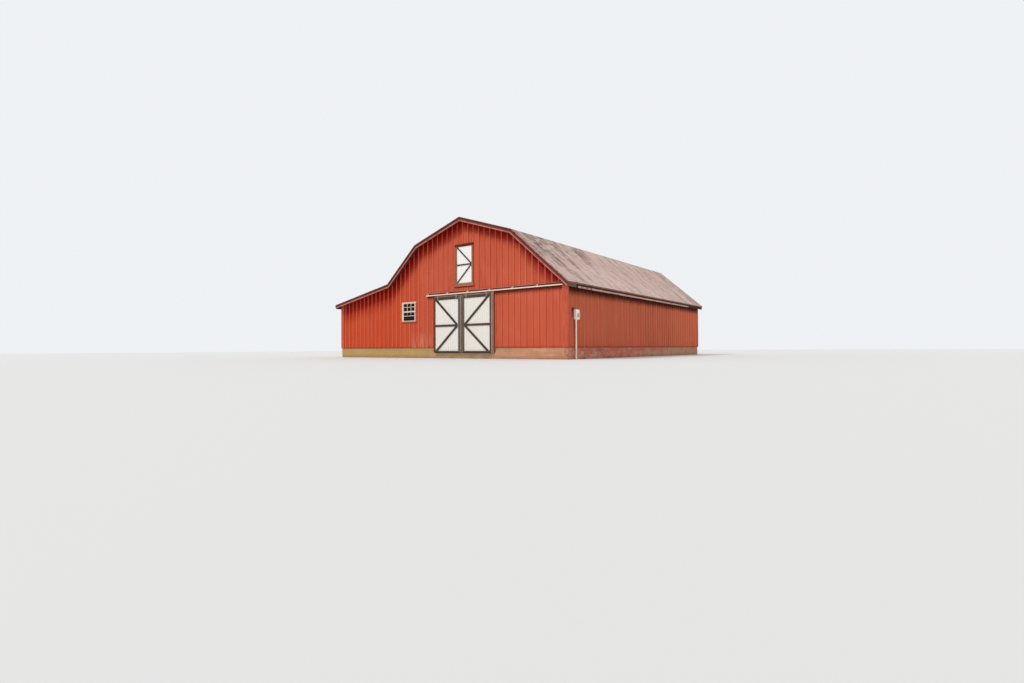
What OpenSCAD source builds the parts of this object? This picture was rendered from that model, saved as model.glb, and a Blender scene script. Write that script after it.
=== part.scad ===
// Red gambrel barn with a lean-to on its left side, post-and-girt framing,
// board siding, a loft, and a pair of track-hung sliding doors in the front.
// The front faces -Y, the ridge runs along Y above the origin, Z = 0 is the ground.
// Lengths are in millimetres.

/* [Plan] */
// Width of the gambrel part over the siding
main_w = 10970; // [10000:10:12000]
// Width of the lean-to on the left side
lean_w = 3660; // [3000:10:4500]
// Length of the barn over the siding
barn_l = 16260; // [11000:10:18000]
// Post bays along the length
bays = 6; // [4:1:8]
// Centre of the doorway, measured from the ridge
door_x = -80; // [-200:10:200]

/* [Heights] */
// Top of the foundation, where the siding starts
base_h = 500; // [350:10:650]
// Top of the concrete floor
floor_h = 250; // [200:10:300]
// Head of the doorway above the ground
head_h = 2800; // [2600:10:3200]
// Top of the roof over the side wall, above the head of the doorway
eave_rise = 475; // [450:5:700]

/* [Roof] */
// Distance from the ridge to the break between the two slopes
break_x = 2930; // [2700:10:3100]
// Distance that the lean-to roof starts up the lower slope, measured in from the wall line
lean_lap = 535; // [450:5:600]
// Angle of the upper slope, near 4 in 12
upper_angle = 17.95; // [16:0.01:20]
// Angle of the lower slope, near 10 in 12
lower_angle = 41.1; // [39:0.01:43]
// Angle of the lean-to slope, near 2 in 12
lean_angle = 10.9; // [9:0.01:13]
// Thickness of the roof boards and shingles
roof_t = 50; // [40:1:70]
// Overhang of the roof past the end walls
rake_over = 320; // [250:5:400]
// Overhang of the roof past the right wall
eave_over = 195; // [140:5:230]
// Overhang of the lean-to roof past the left wall
lean_over = 150; // [130:5:200]
// Distance that the roof edge stands out past its trim boards
drip = 20; // [10:1:30]
// Thickness of the trim boards
trim_t = 25; // [19:1:32]
// Depth of the rake boards along the end overhangs
rake_d = 140; // [120:5:200]
// Depth of the fascia boards along the eaves
fascia_d = 170; // [150:5:240]

/* [Frame] */
// Thickness of the siding boards
board_t = 25; // [19:1:30]
// Thickness of the girts, jambs and other boards laid flat
girt_t = 38; // [32:1:50]
// Width of the girts and studs across their flat side
girt_h = 89; // [70:1:120]
// Width of the square posts
post_w = 140; // [120:1:180]
// Thickness of the foundation wall
foundation_w = 200; // [190:5:260]
// Set-back of the foundation behind the siding face
foundation_in = 25; // [15:1:25]
// Height of the aisle beams
beam_h = 240; // [200:5:280]
// Height of the plates on the post rows
plate_h = 190; // [140:5:220]
// Height of the loft joists
joist_h = 235; // [190:5:260]
// Depth of the rafters
rafter_h = 140; // [120:5:160]
// Thickness of the rafters, joists and ties
rafter_t = 38; // [32:1:50]
// Level seat of a rafter on its plate
seat_w = 50; // [40:1:70]
// Height of the collar ties
tie_h = 140; // [100:5:160]
// Height of the ridge board
ridge_board_h = 190; // [170:5:220]
// Thickness of the loft floor boards
deck_t = 25; // [19:1:32]

/* [Sliding doors] */
// Width of one door leaf
leaf_w = 1765; // [1700:5:1800]
// Gap between the two leaves
leaf_gap = 30; // [20:1:40]
// Bottom of the leaves above the ground
leaf_z = 270; // [260:1:320]
// Overlap of the leaves above the head of the doorway
leaf_over = 120; // [80:1:130]
// Space between the siding face and the back of the leaves
leaf_off = 45; // [40:1:60]
// Thickness of the white door panels
panel_t = 25; // [19:1:32]
// Thickness of the frame boards on the panels
frame_t = 28; // [19:1:35]
// Width of the outer stiles
stile_w = 110; // [80:1:130]
// Width of the meeting stiles
meeting_w = 115; // [90:1:140]
// Width of the top rails
top_rail_w = 170; // [120:1:190]
// Width of the middle rails
mid_rail_w = 100; // [70:1:120]
// Width of the bottom rails
bottom_rail_w = 75; // [60:1:110]
// Width of the diagonal braces
brace_w = 100; // [70:1:115]
// Middle of the middle rails above the ground
mid_rail_z = 1530; // [1400:5:1650]
// Overlap of the leaves past each side of the doorway
leaf_lap = 70; // [50:1:90]

/* [Door track] */
// Distance between the top of the leaves and the track
track_gap = 55; // [45:1:90]
// Width of the track box
track_w = 64; // [62:1:70]
// Height of the track box
track_h = 60; // [58:1:80]
// Wall of the track box
track_t = 4; // [3:0.5:5]
// Slot along the bottom of the track
slot_w = 26; // [24:1:28]
// Length of the track before the closed leaves
track_lead = 480; // [300:10:600]
// Length of the track past the open leaves
track_past = 90; // [70:5:150]
// Distance between the track brackets
bracket_pitch = 1270; // [1000:10:1500]
// Distance from the track's left end to the first bracket
bracket_in = 60; // [40:5:300]
// Width of a track bracket
bracket_w = 60; // [40:1:80]
// Thickness of the bracket and hanger straps
strap_t = 6; // [5:0.5:8]
// Height of the board behind the track
track_board_h = 140; // [120:5:150]
// Distance from a leaf's edge to its hangers
hanger_in = 290; // [200:5:350]
// Width of a hanger strap
hanger_w = 70; // [60:1:90]
// Diameter of the hanger wheels
wheel_d = 44; // [40:1:46]
// Thickness of the hanger wheels
wheel_t = 8; // [6:1:9]
// Diameter of the hanger bolts
hanger_bolt_d = 14; // [12:1:15]
// Diameter of the wheel axles
axle_d = 9; // [8:1:12]
// Length of the pull handles
handle_h = 220; // [160:5:260]
// Diameter of the pull handles
handle_d = 18; // [14:1:22]
// Finger room behind the pull handles
handle_gap = 40; // [35:1:50]
// Distance from a leaf's meeting edge to its handle
handle_in = 60; // [50:1:80]

/* [Window] */
// Centre of the window, measured from the ridge
window_x = -3640; // [-3900:10:-3300]
// Top of the window opening, measured down from the top of the doorway
window_drop = 70; // [60:5:400]
// Width of the window opening
window_w = 880; // [700:10:1000]
// Height of the window opening
window_h = 905; // [700:5:950]
// Width of the casing boards beside the window
casing_w = 70; // [50:1:90]
// Width of the casing boards over and under the window
head_casing_w = 50; // [35:1:70]
// Thickness of the casings in front of the siding
casing_t = 32; // [26:1:38]
// Width of the upright sash bars
sash_w = 45; // [30:1:60]
// Width of the level sash bars
sash_rail_w = 30; // [20:1:50]
// Thickness of the sash
sash_t = 24; // [15:1:25]
// Thickness of the glass
glass_t = 4; // [3:0.5:6]

/* [Loft door] */
// Centre of the loft door, measured from the ridge
loft_x = 35; // [-100:5:150]
// Bottom of the loft door opening above the loft floor
loft_sill = 241; // [190:1:300]
// Width of the loft door opening
loft_w = 900; // [800:10:1000]
// Height of the loft door opening
loft_h = 1680; // [1500:10:1700]
// Width of the trim round the loft door
loft_trim_w = 115; // [90:1:120]
// Width of the braces on the loft door
loft_brace_w = 70; // [50:1:100]
// Height of the ledge board under the loft door
ledge_h = 125; // [100:1:125]
// Thickness of the ledge board
ledge_t = 45; // [40:1:60]

/* [Trim and gutter] */
// Width of the corner boards
corner_w = 235; // [200:1:235]
// Thickness of the corner boards
corner_t = 22; // [19:1:30]
// Width of the gutter
gutter_w = 110; // [90:1:130]
// Height of the gutter
gutter_h = 90; // [70:1:110]
// Wall of the gutter and the downspout
gutter_t = 3; // [2:0.5:4]
// Width of the downspout
spout_w = 90; // [70:1:100]
// Depth of the downspout
spout_d = 70; // [60:1:80]
// Distance of the downspout from the front face
spout_y = 135; // [135:5:200]
// Space between the left wall and the downspout
spout_off = 60; // [40:1:80]
// Height of the sloping part of the downspout
elbow_h = 400; // [100:5:450]
// Bottom of the downspout above the ground
spout_z = 40; // [10:5:80]

/* [Electric meter] */
// Distance of the meter box centre from the front face
meter_y = 625; // [350:5:800]
// Bottom of the meter box above the ground
meter_z = 1610; // [1400:10:1700]
// Width of the meter box
meter_w = 280; // [220:5:320]
// Height of the meter box
meter_h = 410; // [350:5:450]
// Depth of the meter box
meter_d = 120; // [90:1:150]
// Diameter of the meter glass
meter_glass_d = 170; // [150:1:180]
// Depth of the meter glass in front of the box
meter_glass_h = 95; // [70:1:110]
// Height of the meter glass centre above the bottom of the box
meter_glass_z = 165; // [130:5:220]
// Diameter of the riser pipe under the meter box
riser_d = 73; // [48:1:90]

/* [Hidden] */
$fn = 32;

// Joint between neighbouring pieces that share a node
seam = 0.5;
// Clearance between the roof boards and all that carries them
seat = 0.3;
// Running room between the wheels and the track
wheel_gap = 0.4;
// Distance of the wheels from the slot and from each other's middle
wheel_in = 1;
// Room between joists and the rafters above them, step between a casing and its sash,
// and reach of a brace past the corner that it runs to
frame_gap = 5;
// Room between the hanger straps and the track above them
strap_gap = 10;
// Reach of a cut past the faces that it goes through
cut = 1;

main_x = main_w / 2;
lean_x = main_x + lean_w;
end_y = barn_l / 2;
wall_t = board_t + girt_t;
plate_out = main_x - wall_t;
plate_in = plate_out - post_w;
lean_plate_out = lean_x - wall_t;
frame_y = end_y - wall_t;

open_w = 2 * leaf_w + leaf_gap - 2 * leaf_lap;
jamb_left = door_x - open_w / 2 - girt_t;
jamb_right = door_x + open_w / 2 + girt_t;
split_h = head_h + girt_t;
window_z = head_h - window_drop - window_h;
post_rows = [plate_out - post_w / 2, jamb_right + post_w / 2, jamb_left - post_w / 2,
    -plate_out + post_w / 2, -lean_plate_out + post_w / 2];

upper_m = tan(upper_angle);
lower_m = tan(lower_angle);
lean_m = tan(lean_angle);
lean_join_x = main_x - lean_lap;
break_h = head_h + eave_rise + lower_m * (main_x - break_x);
ridge_h = break_h + upper_m * break_x;
join_h = break_h - lower_m * (lean_join_x - break_x);

// Plumb depth of a layer one unit thick on a slope
function plumb(m) = sqrt(1 + m * m);
// Heights of the three slopes at a distance from the ridge and a depth under the roof's top
function upper_z(x, d) = ridge_h - upper_m * x - d * plumb(upper_m);
function lower_z(x, d) = break_h - lower_m * (x - break_x) - d * plumb(lower_m);
function lean_z(x, d) = join_h - lean_m * (x - lean_join_x) - d * plumb(lean_m);
// Where two slopes meet at a depth under the roof's top
function break_at(d) = break_x - d * (plumb(lower_m) - plumb(upper_m)) / (lower_m - upper_m);
function join_at(d) = lean_join_x - d * (plumb(lower_m) - plumb(lean_m)) / (lower_m - lean_m);
// How far a level reaches out under the roof boards
function main_reach(z) = z > upper_z(break_at(roof_t), roof_t)
    ? (ridge_h - roof_t * plumb(upper_m) - z) / upper_m
    : break_x + (break_h - roof_t * plumb(lower_m) - z) / lower_m;
function lean_reach(z) = lean_join_x + (join_h - roof_t * plumb(lean_m) - z) / lean_m;

rafter_d = roof_t + rafter_h;
plate_top = lower_z(plate_out, rafter_d) + lower_m * seat_w;
lean_plate_top = lean_z(lean_plate_out, rafter_d) + lean_m * seat_w;
joist_top = lower_z(plate_in, rafter_d) - frame_gap;
beam_top = joist_top - joist_h;
deck_top = joist_top + deck_t;
deck_x = plate_in - deck_t / lower_m;
loft_z = deck_top + loft_sill;
right_wall_top = lower_z(main_x, rafter_d);
left_wall_top = lean_z(lean_x, rafter_d);

eave_x = main_x + eave_over;
lean_eave_x = lean_x + lean_over;
fascia_x = eave_x - drip;
lean_fascia_x = lean_eave_x - drip;
roof_y = end_y + rake_over;
rake_y = roof_y - drip;

rafters = 2 * bays;
rafter_pitch = 2 * (frame_y - rafter_t / 2) / rafters;

leaf_top = head_h + leaf_over;
track_z = leaf_top + track_gap;
track_top = track_z + track_h;
travel = 2 * leaf_w;
leaf_back = -end_y - leaf_off;
leaf_face = leaf_back - panel_t;
frame_face = leaf_face - frame_t;
left_leaf_x = door_x - leaf_gap / 2 - leaf_w;
right_leaf_x = door_x + leaf_gap / 2 + leaf_w;
track_y = leaf_back - (panel_t + frame_t) / 2;
track_x0 = left_leaf_x - track_lead;
track_x1 = right_leaf_x + travel + track_past;

barn_red = [0.72, 0.29, 0.21];
trim_brown = [0.29, 0.26, 0.21];
door_white = [0.90, 0.88, 0.85];
lumber = [0.66, 0.54, 0.40];
shingle = [0.70, 0.62, 0.58];
concrete = [0.62, 0.50, 0.44];
cream = [0.93, 0.86, 0.78];
steel = [0.55, 0.54, 0.52];

// Box between two opposite corners
module block(low, high) {
    translate(low) cube(high - low);
}

// Outline in the XZ plane, extruded from y0 to y1
module along_y(y0, y1, outline) {
    translate([0, y1, 0]) rotate([90, 0, 0]) linear_extrude(y1 - y0) polygon(outline);
}

// Outlines of a layer on each slope, between the depths d0 and d1
function upper_strip(d0, d1, x0) = [
    [x0, upper_z(x0, d0)], [break_at(d0), upper_z(break_at(d0), d0)],
    [break_at(d1), upper_z(break_at(d1), d1)], [x0, upper_z(x0, d1)]];
function lower_strip(d0, d1, x1, gap) = [
    [break_at(d0) + gap, lower_z(break_at(d0) + gap, d0)], [x1, lower_z(x1, d0)],
    [x1, lower_z(x1, d1)], [break_at(d1) + gap, lower_z(break_at(d1) + gap, d1)]];
function short_strip(d0, d1, gap) = [
    [break_at(d0) + gap, lower_z(break_at(d0) + gap, d0)], [join_at(d0), lower_z(join_at(d0), d0)],
    [join_at(d1), lower_z(join_at(d1), d1)], [break_at(d1) + gap, lower_z(break_at(d1) + gap, d1)]];
function lean_strip(d0, d1, x1, gap) = [
    [join_at(d0) + gap, lean_z(join_at(d0) + gap, d0)], [x1, lean_z(x1, d0)],
    [x1, lean_z(x1, d1)], [join_at(d1) + gap, lean_z(join_at(d1) + gap, d1)]];

// Concrete foundation, and the floor with the fill it lies on
module foundation() {
    color(concrete) {
        out_y = end_y - foundation_in;
        in_y = out_y - foundation_w;
        out_right = main_x - foundation_in;
        out_left = -lean_x + foundation_in;
        block([out_left, -out_y, 0], [jamb_left, -in_y, base_h]);
        block([jamb_left + seam, -out_y, 0], [jamb_right - seam, -in_y, floor_h]);
        block([jamb_right, -out_y, 0], [out_right, -in_y, base_h]);
        block([out_left, in_y, 0], [out_right, out_y, base_h]);
        block([out_right - foundation_w, -in_y + seam, 0], [out_right, in_y - seam, base_h]);
        block([out_left, -in_y + seam, 0], [out_left + foundation_w, in_y - seam, base_h]);
    }
}

module floor_slab() {
    color(concrete) {
        edge = foundation_in + foundation_w;
        block([-lean_x + edge, -end_y + edge, 0], [main_x - edge, end_y - edge, floor_h]);
    }
}

// Siding
module front_wall_lean() {
    color(barn_red) along_y(-end_y, -end_y + board_t, [
        [-lean_x + board_t, base_h], [-main_x, base_h], [-main_x, lean_z(main_x, roof_t)],
        [-lean_x + board_t, lean_z(lean_x - board_t, roof_t)]]);
}

module front_wall_left() {
    color(barn_red) difference() {
        block([-main_x, -end_y, base_h], [jamb_left, -end_y + board_t, split_h]);
        block([window_x - window_w / 2, -end_y - cut, window_z],
            [window_x + window_w / 2, -end_y + board_t + cut, window_z + window_h]);
    }
}

module front_wall_right() {
    color(barn_red)
        block([jamb_right, -end_y, base_h], [main_x - board_t, -end_y + board_t, split_h]);
}

// Outline of an end wall above a level, with its left edge at x0
function gable_outline(z, x0) = [
    [x0, z], [main_x - board_t, z], [main_x - board_t, lower_z(main_x - board_t, roof_t)],
    [break_at(roof_t), upper_z(break_at(roof_t), roof_t)], [0, upper_z(0, roof_t)],
    [-break_at(roof_t), upper_z(break_at(roof_t), roof_t)],
    [-join_at(roof_t), lean_z(join_at(roof_t), roof_t)], [x0, lean_z(-x0, roof_t)]];

module front_gable() {
    color(barn_red) difference() {
        along_y(-end_y, -end_y + board_t, gable_outline(split_h, -main_x));
        block([loft_x - loft_w / 2, -end_y - cut, loft_z],
            [loft_x + loft_w / 2, -end_y + board_t + cut, loft_z + loft_h]);
    }
}

module back_wall() {
    color(barn_red)
        along_y(end_y - board_t, end_y, gable_outline(base_h, -lean_x + board_t));
}

module right_wall() {
    color(barn_red) block([main_x - board_t, -end_y, base_h], [main_x, end_y, right_wall_top]);
}

module left_wall() {
    color(barn_red) block([-lean_x, -end_y, base_h], [-lean_x + board_t, end_y, left_wall_top]);
}

// One post of a row, standing on the foundation or on the floor
module post(x, y, foot, top) {
    block([x - post_w / 2, y - post_w / 2, foot], [x + post_w / 2, y + post_w / 2, top]);
}

// Flat stud beside the loft opening, under the end rafters
module gable_stud(x, side) {
    outer = max(abs(x), abs(x + girt_h));
    y = side * (frame_y - rafter_t / 2);
    block([x, y - rafter_t / 2, deck_top], [x + girt_h, y + rafter_t / 2, upper_z(outer, rafter_d)]);
}

module posts() {
    tops = [plate_top - plate_h, beam_top - beam_h, beam_top - beam_h, plate_top - plate_h,
        lean_plate_top - plate_h];
    color(lumber) {
        for (row = [0:4], i = [0:bays]) {
            on_wall = row == 0 || row == 4 || i == 0 || i == bays;
            y = -frame_y + post_w / 2 + i * (2 * frame_y - post_w) / bays;
            post(post_rows[row], y, on_wall ? base_h : floor_h, tops[row]);
        }
        for (side = [-1, 1]) {
            gable_stud(loft_x - loft_w / 2 - girt_h, side);
            gable_stud(loft_x + loft_w / 2, side);
        }
    }
}

// One girt along an end wall, side -1 at the front and 1 at the back
module end_girt(side, x0, x1, z) {
    y0 = side < 0 ? -end_y + board_t : frame_y;
    block([x0, y0, z], [x1, y0 + girt_t, z + girt_h]);
}

module girts() {
    steps = 3;
    left_end = -lean_plate_out + seam;
    right_end = plate_out - seam;
    low_levels = [base_h, (base_h + window_z - girt_h) / 2, window_z - girt_h];
    loft_top = loft_z + loft_h;
    high_levels = [split_h, loft_z - girt_h, loft_z + loft_h / 2, loft_top, (loft_top + ridge_h) / 2];
    color(lumber) {
        for (i = [0:steps]) {
            right_z = base_h + i * (right_wall_top - girt_h - base_h) / steps;
            left_z = base_h + i * (left_wall_top - girt_h - base_h) / steps;
            block([plate_out, -end_y + board_t, right_z],
                [main_x - board_t, end_y - board_t, right_z + girt_h]);
            block([-lean_x + board_t, -end_y + board_t, left_z],
                [-lean_plate_out, end_y - board_t, left_z + girt_h]);
        }
        for (z = low_levels) {
            end_girt(-1, left_end, jamb_left, z);
            end_girt(-1, jamb_right, right_end, z);
            end_girt(1, left_end, right_end, z);
        }
        for (z = high_levels) {
            top = z + girt_h;
            x0 = -min(max(main_reach(top), lean_reach(top)), lean_plate_out - seam);
            x1 = min(main_reach(top), plate_out - seam);
            end_girt(1, x0, x1, z);
            beside_loft = z > loft_z && z < loft_top;
            if (beside_loft) {
                end_girt(-1, x0, loft_x - loft_w / 2, z);
                end_girt(-1, loft_x + loft_w / 2, x1, z);
            } else {
                end_girt(-1, x0, x1, z);
            }
        }
    }
}

// Plates, ledgers and aisle beams that carry the loft and the rafters
module loft_beams() {
    color(lumber) {
        for (side = [-1, 1]) {
            plate_x = side * (plate_in + plate_out) / 2;
            ledger_x = side * (plate_in - seam - girt_t / 2);
            block([plate_x - post_w / 2, -frame_y, plate_top - plate_h],
                [plate_x + post_w / 2, frame_y, plate_top]);
            block([ledger_x - girt_t / 2, -frame_y, beam_top - plate_h],
                [ledger_x + girt_t / 2, frame_y, beam_top]);
        }
        for (row = [1, 2])
            block([post_rows[row] - post_w / 2, -frame_y, beam_top - beam_h],
                [post_rows[row] + post_w / 2, frame_y, beam_top]);
        block([-lean_plate_out, -frame_y, lean_plate_top - plate_h],
            [-lean_plate_out + post_w, frame_y, lean_plate_top]);
    }
}

// Middle of a rafter, and of the joist, tie or lean-to rafter nailed beside it
function rafter_y(i) = -frame_y + rafter_t / 2 + i * rafter_pitch;
function beside_y(i) = rafter_y(i) + (i < rafters ? rafter_t : -rafter_t);

// The same outline at one framing line
module framed(y, outline) {
    along_y(y - rafter_t / 2, y + rafter_t / 2, outline);
}

module loft_joists() {
    color(lumber) for (i = [0:rafters])
        block([-plate_in, beside_y(i) - rafter_t / 2, beam_top],
            [plate_in, beside_y(i) + rafter_t / 2, joist_top]);
}

module loft_floor() {
    color(lumber) block([-deck_x, -frame_y, joist_top], [deck_x, frame_y, deck_top]);
}

module lower_rafters() {
    tail = fascia_x - trim_t;
    head = [[break_at(roof_t), lower_z(break_at(roof_t), roof_t)]];
    foot = [[plate_out, plate_top], [plate_out - seat_w, plate_top],
        [break_at(rafter_d), lower_z(break_at(rafter_d), rafter_d)]];
    right = concat(head, [[tail, lower_z(tail, roof_t)], [tail, lower_z(tail, rafter_d)],
        [plate_out, lower_z(plate_out, rafter_d)]], foot);
    left = concat(head, [[plate_out, lower_z(plate_out, roof_t)]], foot);
    color(lumber) for (i = [0:rafters]) {
        framed(rafter_y(i), right);
        mirror([1, 0, 0]) framed(rafter_y(i), left);
    }
}

module upper_rafters() {
    outline = upper_strip(roof_t, rafter_d, rafter_t / 2);
    color(lumber) for (i = [0:rafters], side = [0, 1])
        mirror([side, 0, 0]) framed(rafter_y(i), outline);
}

module lean_to_rafters() {
    lap = lean_join_x - seat_w;
    tail = lean_fascia_x - trim_t;
    outline = [[lap, lean_z(lap, roof_t)], [tail, lean_z(tail, roof_t)], [tail, lean_z(tail, rafter_d)],
        [lean_plate_out, lean_z(lean_plate_out, rafter_d)], [lean_plate_out, lean_plate_top],
        [lean_plate_out - seat_w, lean_plate_top], [lap, lean_z(lap, rafter_d)]];
    color(lumber) mirror([1, 0, 0]) for (i = [0:rafters]) framed(beside_y(i), outline);
}

module collar_ties() {
    top = upper_z(break_at(rafter_d), rafter_d) + tie_h / 4;
    low = top - tie_h;
    outline = [[-main_reach(low), low], [main_reach(low), low], [main_reach(top), top],
        [-main_reach(top), top]];
    color(lumber) for (i = [0:rafters]) framed(beside_y(i), outline);
}

module ridge_board() {
    top = upper_z(rafter_t / 2, roof_t);
    color(lumber) block([-rafter_t / 2, -frame_y, top - ridge_board_h], [rafter_t / 2, frame_y, top]);
}

// Roof boards with their shingles
module upper_roof() {
    color(shingle) for (side = [0, 1])
        mirror([side, 0, 0]) along_y(-roof_y, roof_y, upper_strip(0, roof_t - seat, seam / 2));
}

module lower_roof() {
    color(shingle) {
        along_y(-roof_y, roof_y, lower_strip(0, roof_t - seat, eave_x, seat));
        mirror([1, 0, 0]) along_y(-roof_y, roof_y, short_strip(0, roof_t - seat, seat));
    }
}

module lean_to_roof() {
    color(shingle) mirror([1, 0, 0])
        along_y(-roof_y, roof_y, lean_strip(0, roof_t - seat, lean_eave_x, seat));
}

// Trim under the roof edges
module rake_boards() {
    low = roof_t + rake_d;
    color(barn_red) for (y = [-rake_y, rake_y - trim_t]) {
        along_y(y, y + trim_t, upper_strip(roof_t, low, seam / 2));
        along_y(y, y + trim_t, lower_strip(roof_t, low, fascia_x, seam));
        mirror([1, 0, 0]) {
            along_y(y, y + trim_t, upper_strip(roof_t, low, seam / 2));
            along_y(y, y + trim_t, short_strip(roof_t, low, seam));
            along_y(y, y + trim_t, lean_strip(roof_t, low, lean_fascia_x, seam));
        }
    }
}

module eave_fascias() {
    half = rake_y - trim_t;
    right_top = lower_z(fascia_x, roof_t);
    left_top = lean_z(lean_fascia_x, roof_t);
    color(barn_red) {
        block([fascia_x - trim_t, -half, right_top - fascia_d], [fascia_x, half, right_top]);
        block([-lean_fascia_x, -half, left_top - fascia_d], [-lean_fascia_x + trim_t, half, left_top]);
    }
}

module corner_boards() {
    right_top = lower_z(main_x, roof_t);
    left_top = lean_z(lean_x, roof_t);
    color(barn_red) for (side = [0, 1]) mirror([0, side, 0]) {
        block([main_x - corner_w, -end_y - corner_t, base_h], [main_x, -end_y, right_top]);
        block([main_x, -end_y - corner_t, base_h],
            [main_x + corner_t, -end_y + girt_h, lower_z(main_x + corner_t, rafter_d)]);
        block([-lean_x, -end_y - corner_t, base_h], [-lean_x + corner_w, -end_y, left_top]);
        block([-lean_x - corner_t, -end_y - corner_t, base_h],
            [-lean_x, -end_y + girt_h, lean_z(lean_x + corner_t, rafter_d)]);
    }
}

// Rainwater goods on the lean-to eave
gutter_top = lean_z(lean_fascia_x, roof_t) - drip;
outlet_x = -lean_fascia_x - gutter_w / 2;
knee_z = lean_z(lean_fascia_x, roof_t) - fascia_d - frame_gap;
spout_x = -lean_x - spout_off - spout_w / 2;
spout_h = knee_z - elbow_h;

module gutter() {
    color(cream) difference() {
        block([-lean_fascia_x - gutter_w, -rake_y, gutter_top - gutter_h],
            [-lean_fascia_x, rake_y, gutter_top]);
        block([-lean_fascia_x - gutter_w + gutter_t, -rake_y + gutter_t, gutter_top - gutter_h + gutter_t],
            [-lean_fascia_x - gutter_t, rake_y - gutter_t, gutter_top + cut]);
    }
}

// Square tube between two points of the XZ plane, or its bore when grown is negative
module spout_leg(from, to, grown) {
    w = (spout_w + 2 * grown) / 2;
    half = spout_d / 2 + grown;
    y = -end_y + spout_y;
    along_y(y - half, y + half, [[from[0] - w, from[1]], [from[0] + w, from[1]],
        [to[0] + w, to[1]], [to[0] - w, to[1]]]);
}

module downspout() {
    outlet_z = gutter_top - gutter_h;
    route = [[spout_x, spout_z], [spout_x, spout_h], [outlet_x, knee_z], [outlet_x, outlet_z]];
    strap_h = girt_t;
    y = -end_y + spout_y;
    color(cream) {
        difference() {
            union() {
                for (i = [0:2]) spout_leg(route[i], route[i + 1], 0);
                for (z = [base_h + strap_h, spout_h - base_h])
                    block([spout_x, y - spout_d / 2 - gutter_t, z],
                        [-lean_x, y + spout_d / 2 + gutter_t, z + strap_h]);
            }
            for (i = [0:2]) spout_leg(route[i], route[i + 1], -gutter_t);
        }
    }
}

// Box track with a slot underneath, hung from brackets on a board
module door_track() {
    room = track_w / 2 - track_t;
    color(cream) translate([0, track_y, track_z]) difference() {
        block([track_x0, -track_w / 2, 0], [track_x1, track_w / 2, track_h]);
        block([track_x0 - cut, -room, track_t], [track_x1 + cut, room, track_h - track_t]);
        block([track_x0 - cut, -slot_w / 2, -cut], [track_x1 + cut, slot_w / 2, track_t + cut]);
    }
}

module track_brackets() {
    front = track_y - track_w / 2;
    start = track_x0 + bracket_in;
    color(cream) for (x = [start:bracket_pitch:track_x1 - bracket_w]) translate([x - bracket_w / 2, 0, 0]) {
        block([0, -end_y - trim_t - strap_t, track_z + track_h / 2],
            [bracket_w, -end_y - trim_t, track_z + track_board_h - strap_t]);
        block([0, front - strap_t, track_top], [bracket_w, -end_y - trim_t, track_top + strap_t]);
        block([0, front - strap_t, track_top - track_h / 3], [bracket_w, front, track_top + strap_t]);
    }
}

module track_board() {
    right = min(track_x1, main_x - corner_w);
    color(trim_brown)
        block([track_x0, -end_y - trim_t, track_z], [right, -end_y, track_z + track_board_h]);
}

module door_lining() {
    color(trim_brown) {
        block([jamb_left, -end_y, floor_h], [jamb_left + girt_t, -frame_y + post_w, split_h]);
        block([jamb_right - girt_t, -end_y, floor_h], [jamb_right, -frame_y + post_w, split_h]);
        block([jamb_left + girt_t + seam, -end_y, head_h],
            [jamb_right - girt_t - seam, -frame_y + post_w, split_h]);
    }
}

// Window with its casing, its fixed sash and one sheet of glass
module window_frame() {
    left = window_x - window_w / 2;
    right = window_x + window_w / 2;
    top = window_z + window_h;
    middle = window_z + window_h / 2;
    front = -end_y - casing_t;
    color(door_white) {
        difference() {
            block([left - casing_w, front, window_z - head_casing_w],
                [right + casing_w, -end_y, top + head_casing_w]);
            block([left, front - cut, window_z], [right, -end_y + cut, top]);
        }
        difference() {
            block([left, front + frame_gap, window_z], [right, front + frame_gap + sash_t, top]);
            block([left + sash_w, front, window_z + sash_rail_w],
                [right - sash_w, -end_y + cut, middle - sash_rail_w / 2]);
            block([left + sash_w, front, middle + sash_rail_w / 2],
                [right - sash_w, -end_y + cut, top - sash_rail_w]);
        }
    }
}

module window_glass() {
    y = -end_y - casing_t + frame_gap + sash_t;
    color([0.10, 0.11, 0.10])
        block([window_x - window_w / 2, y, window_z],
            [window_x + window_w / 2, y + glass_t, window_z + window_h]);
}

// Fixed loft door in the gable
module loft_door_frame() {
    left = loft_x - loft_w / 2;
    right = loft_x + loft_w / 2;
    top = loft_z + loft_h;
    front = -end_y - casing_t;
    foot = loft_z - casing_t;
    color(trim_brown) {
        block([left - loft_trim_w, front, foot], [left, -end_y, top + loft_trim_w]);
        block([right, front, foot], [right + loft_trim_w, -end_y, top + loft_trim_w]);
        block([left + seam, front, top], [right - seam, -end_y, top + loft_trim_w]);
        block([left + seam, front, foot], [right - seam, -end_y, loft_z]);
    }
}

module loft_door() {
    color(door_white)
        block([loft_x - loft_w / 2 + seam, -end_y - frame_gap, loft_z + seam],
            [loft_x + loft_w / 2 - seam, -end_y + board_t, loft_z + loft_h - seam]);
}

// Board of a given width between two points of the XZ plane
module diagonal(from, to, width, y0, y1) {
    run = (to - from) / norm(to - from);
    past = width * run;
    side = width / 2 * [-run[1], run[0]];
    along_y(y0, y1, [from - past - side, to + past - side, to + past + side, from - past + side]);
}

module loft_door_braces() {
    y0 = -end_y - casing_t;
    y1 = -end_y - frame_gap;
    left = loft_x - loft_w / 2 + seam;
    right = loft_x + loft_w / 2 - seam;
    low = loft_z + seam;
    top = loft_z + loft_h - seam;
    middle = (low + top) / 2;
    color(trim_brown) intersection() {
        block([left, y0, low], [right, y1, top]);
        union() {
            block([left, y0, middle - loft_brace_w / 2], [right, y1, middle + loft_brace_w / 2]);
            diagonal([left, top], [right + frame_gap, middle], loft_brace_w, y0, y1);
            diagonal([left, low], [right + frame_gap, middle], loft_brace_w, y0, y1);
        }
    }
}

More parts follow.
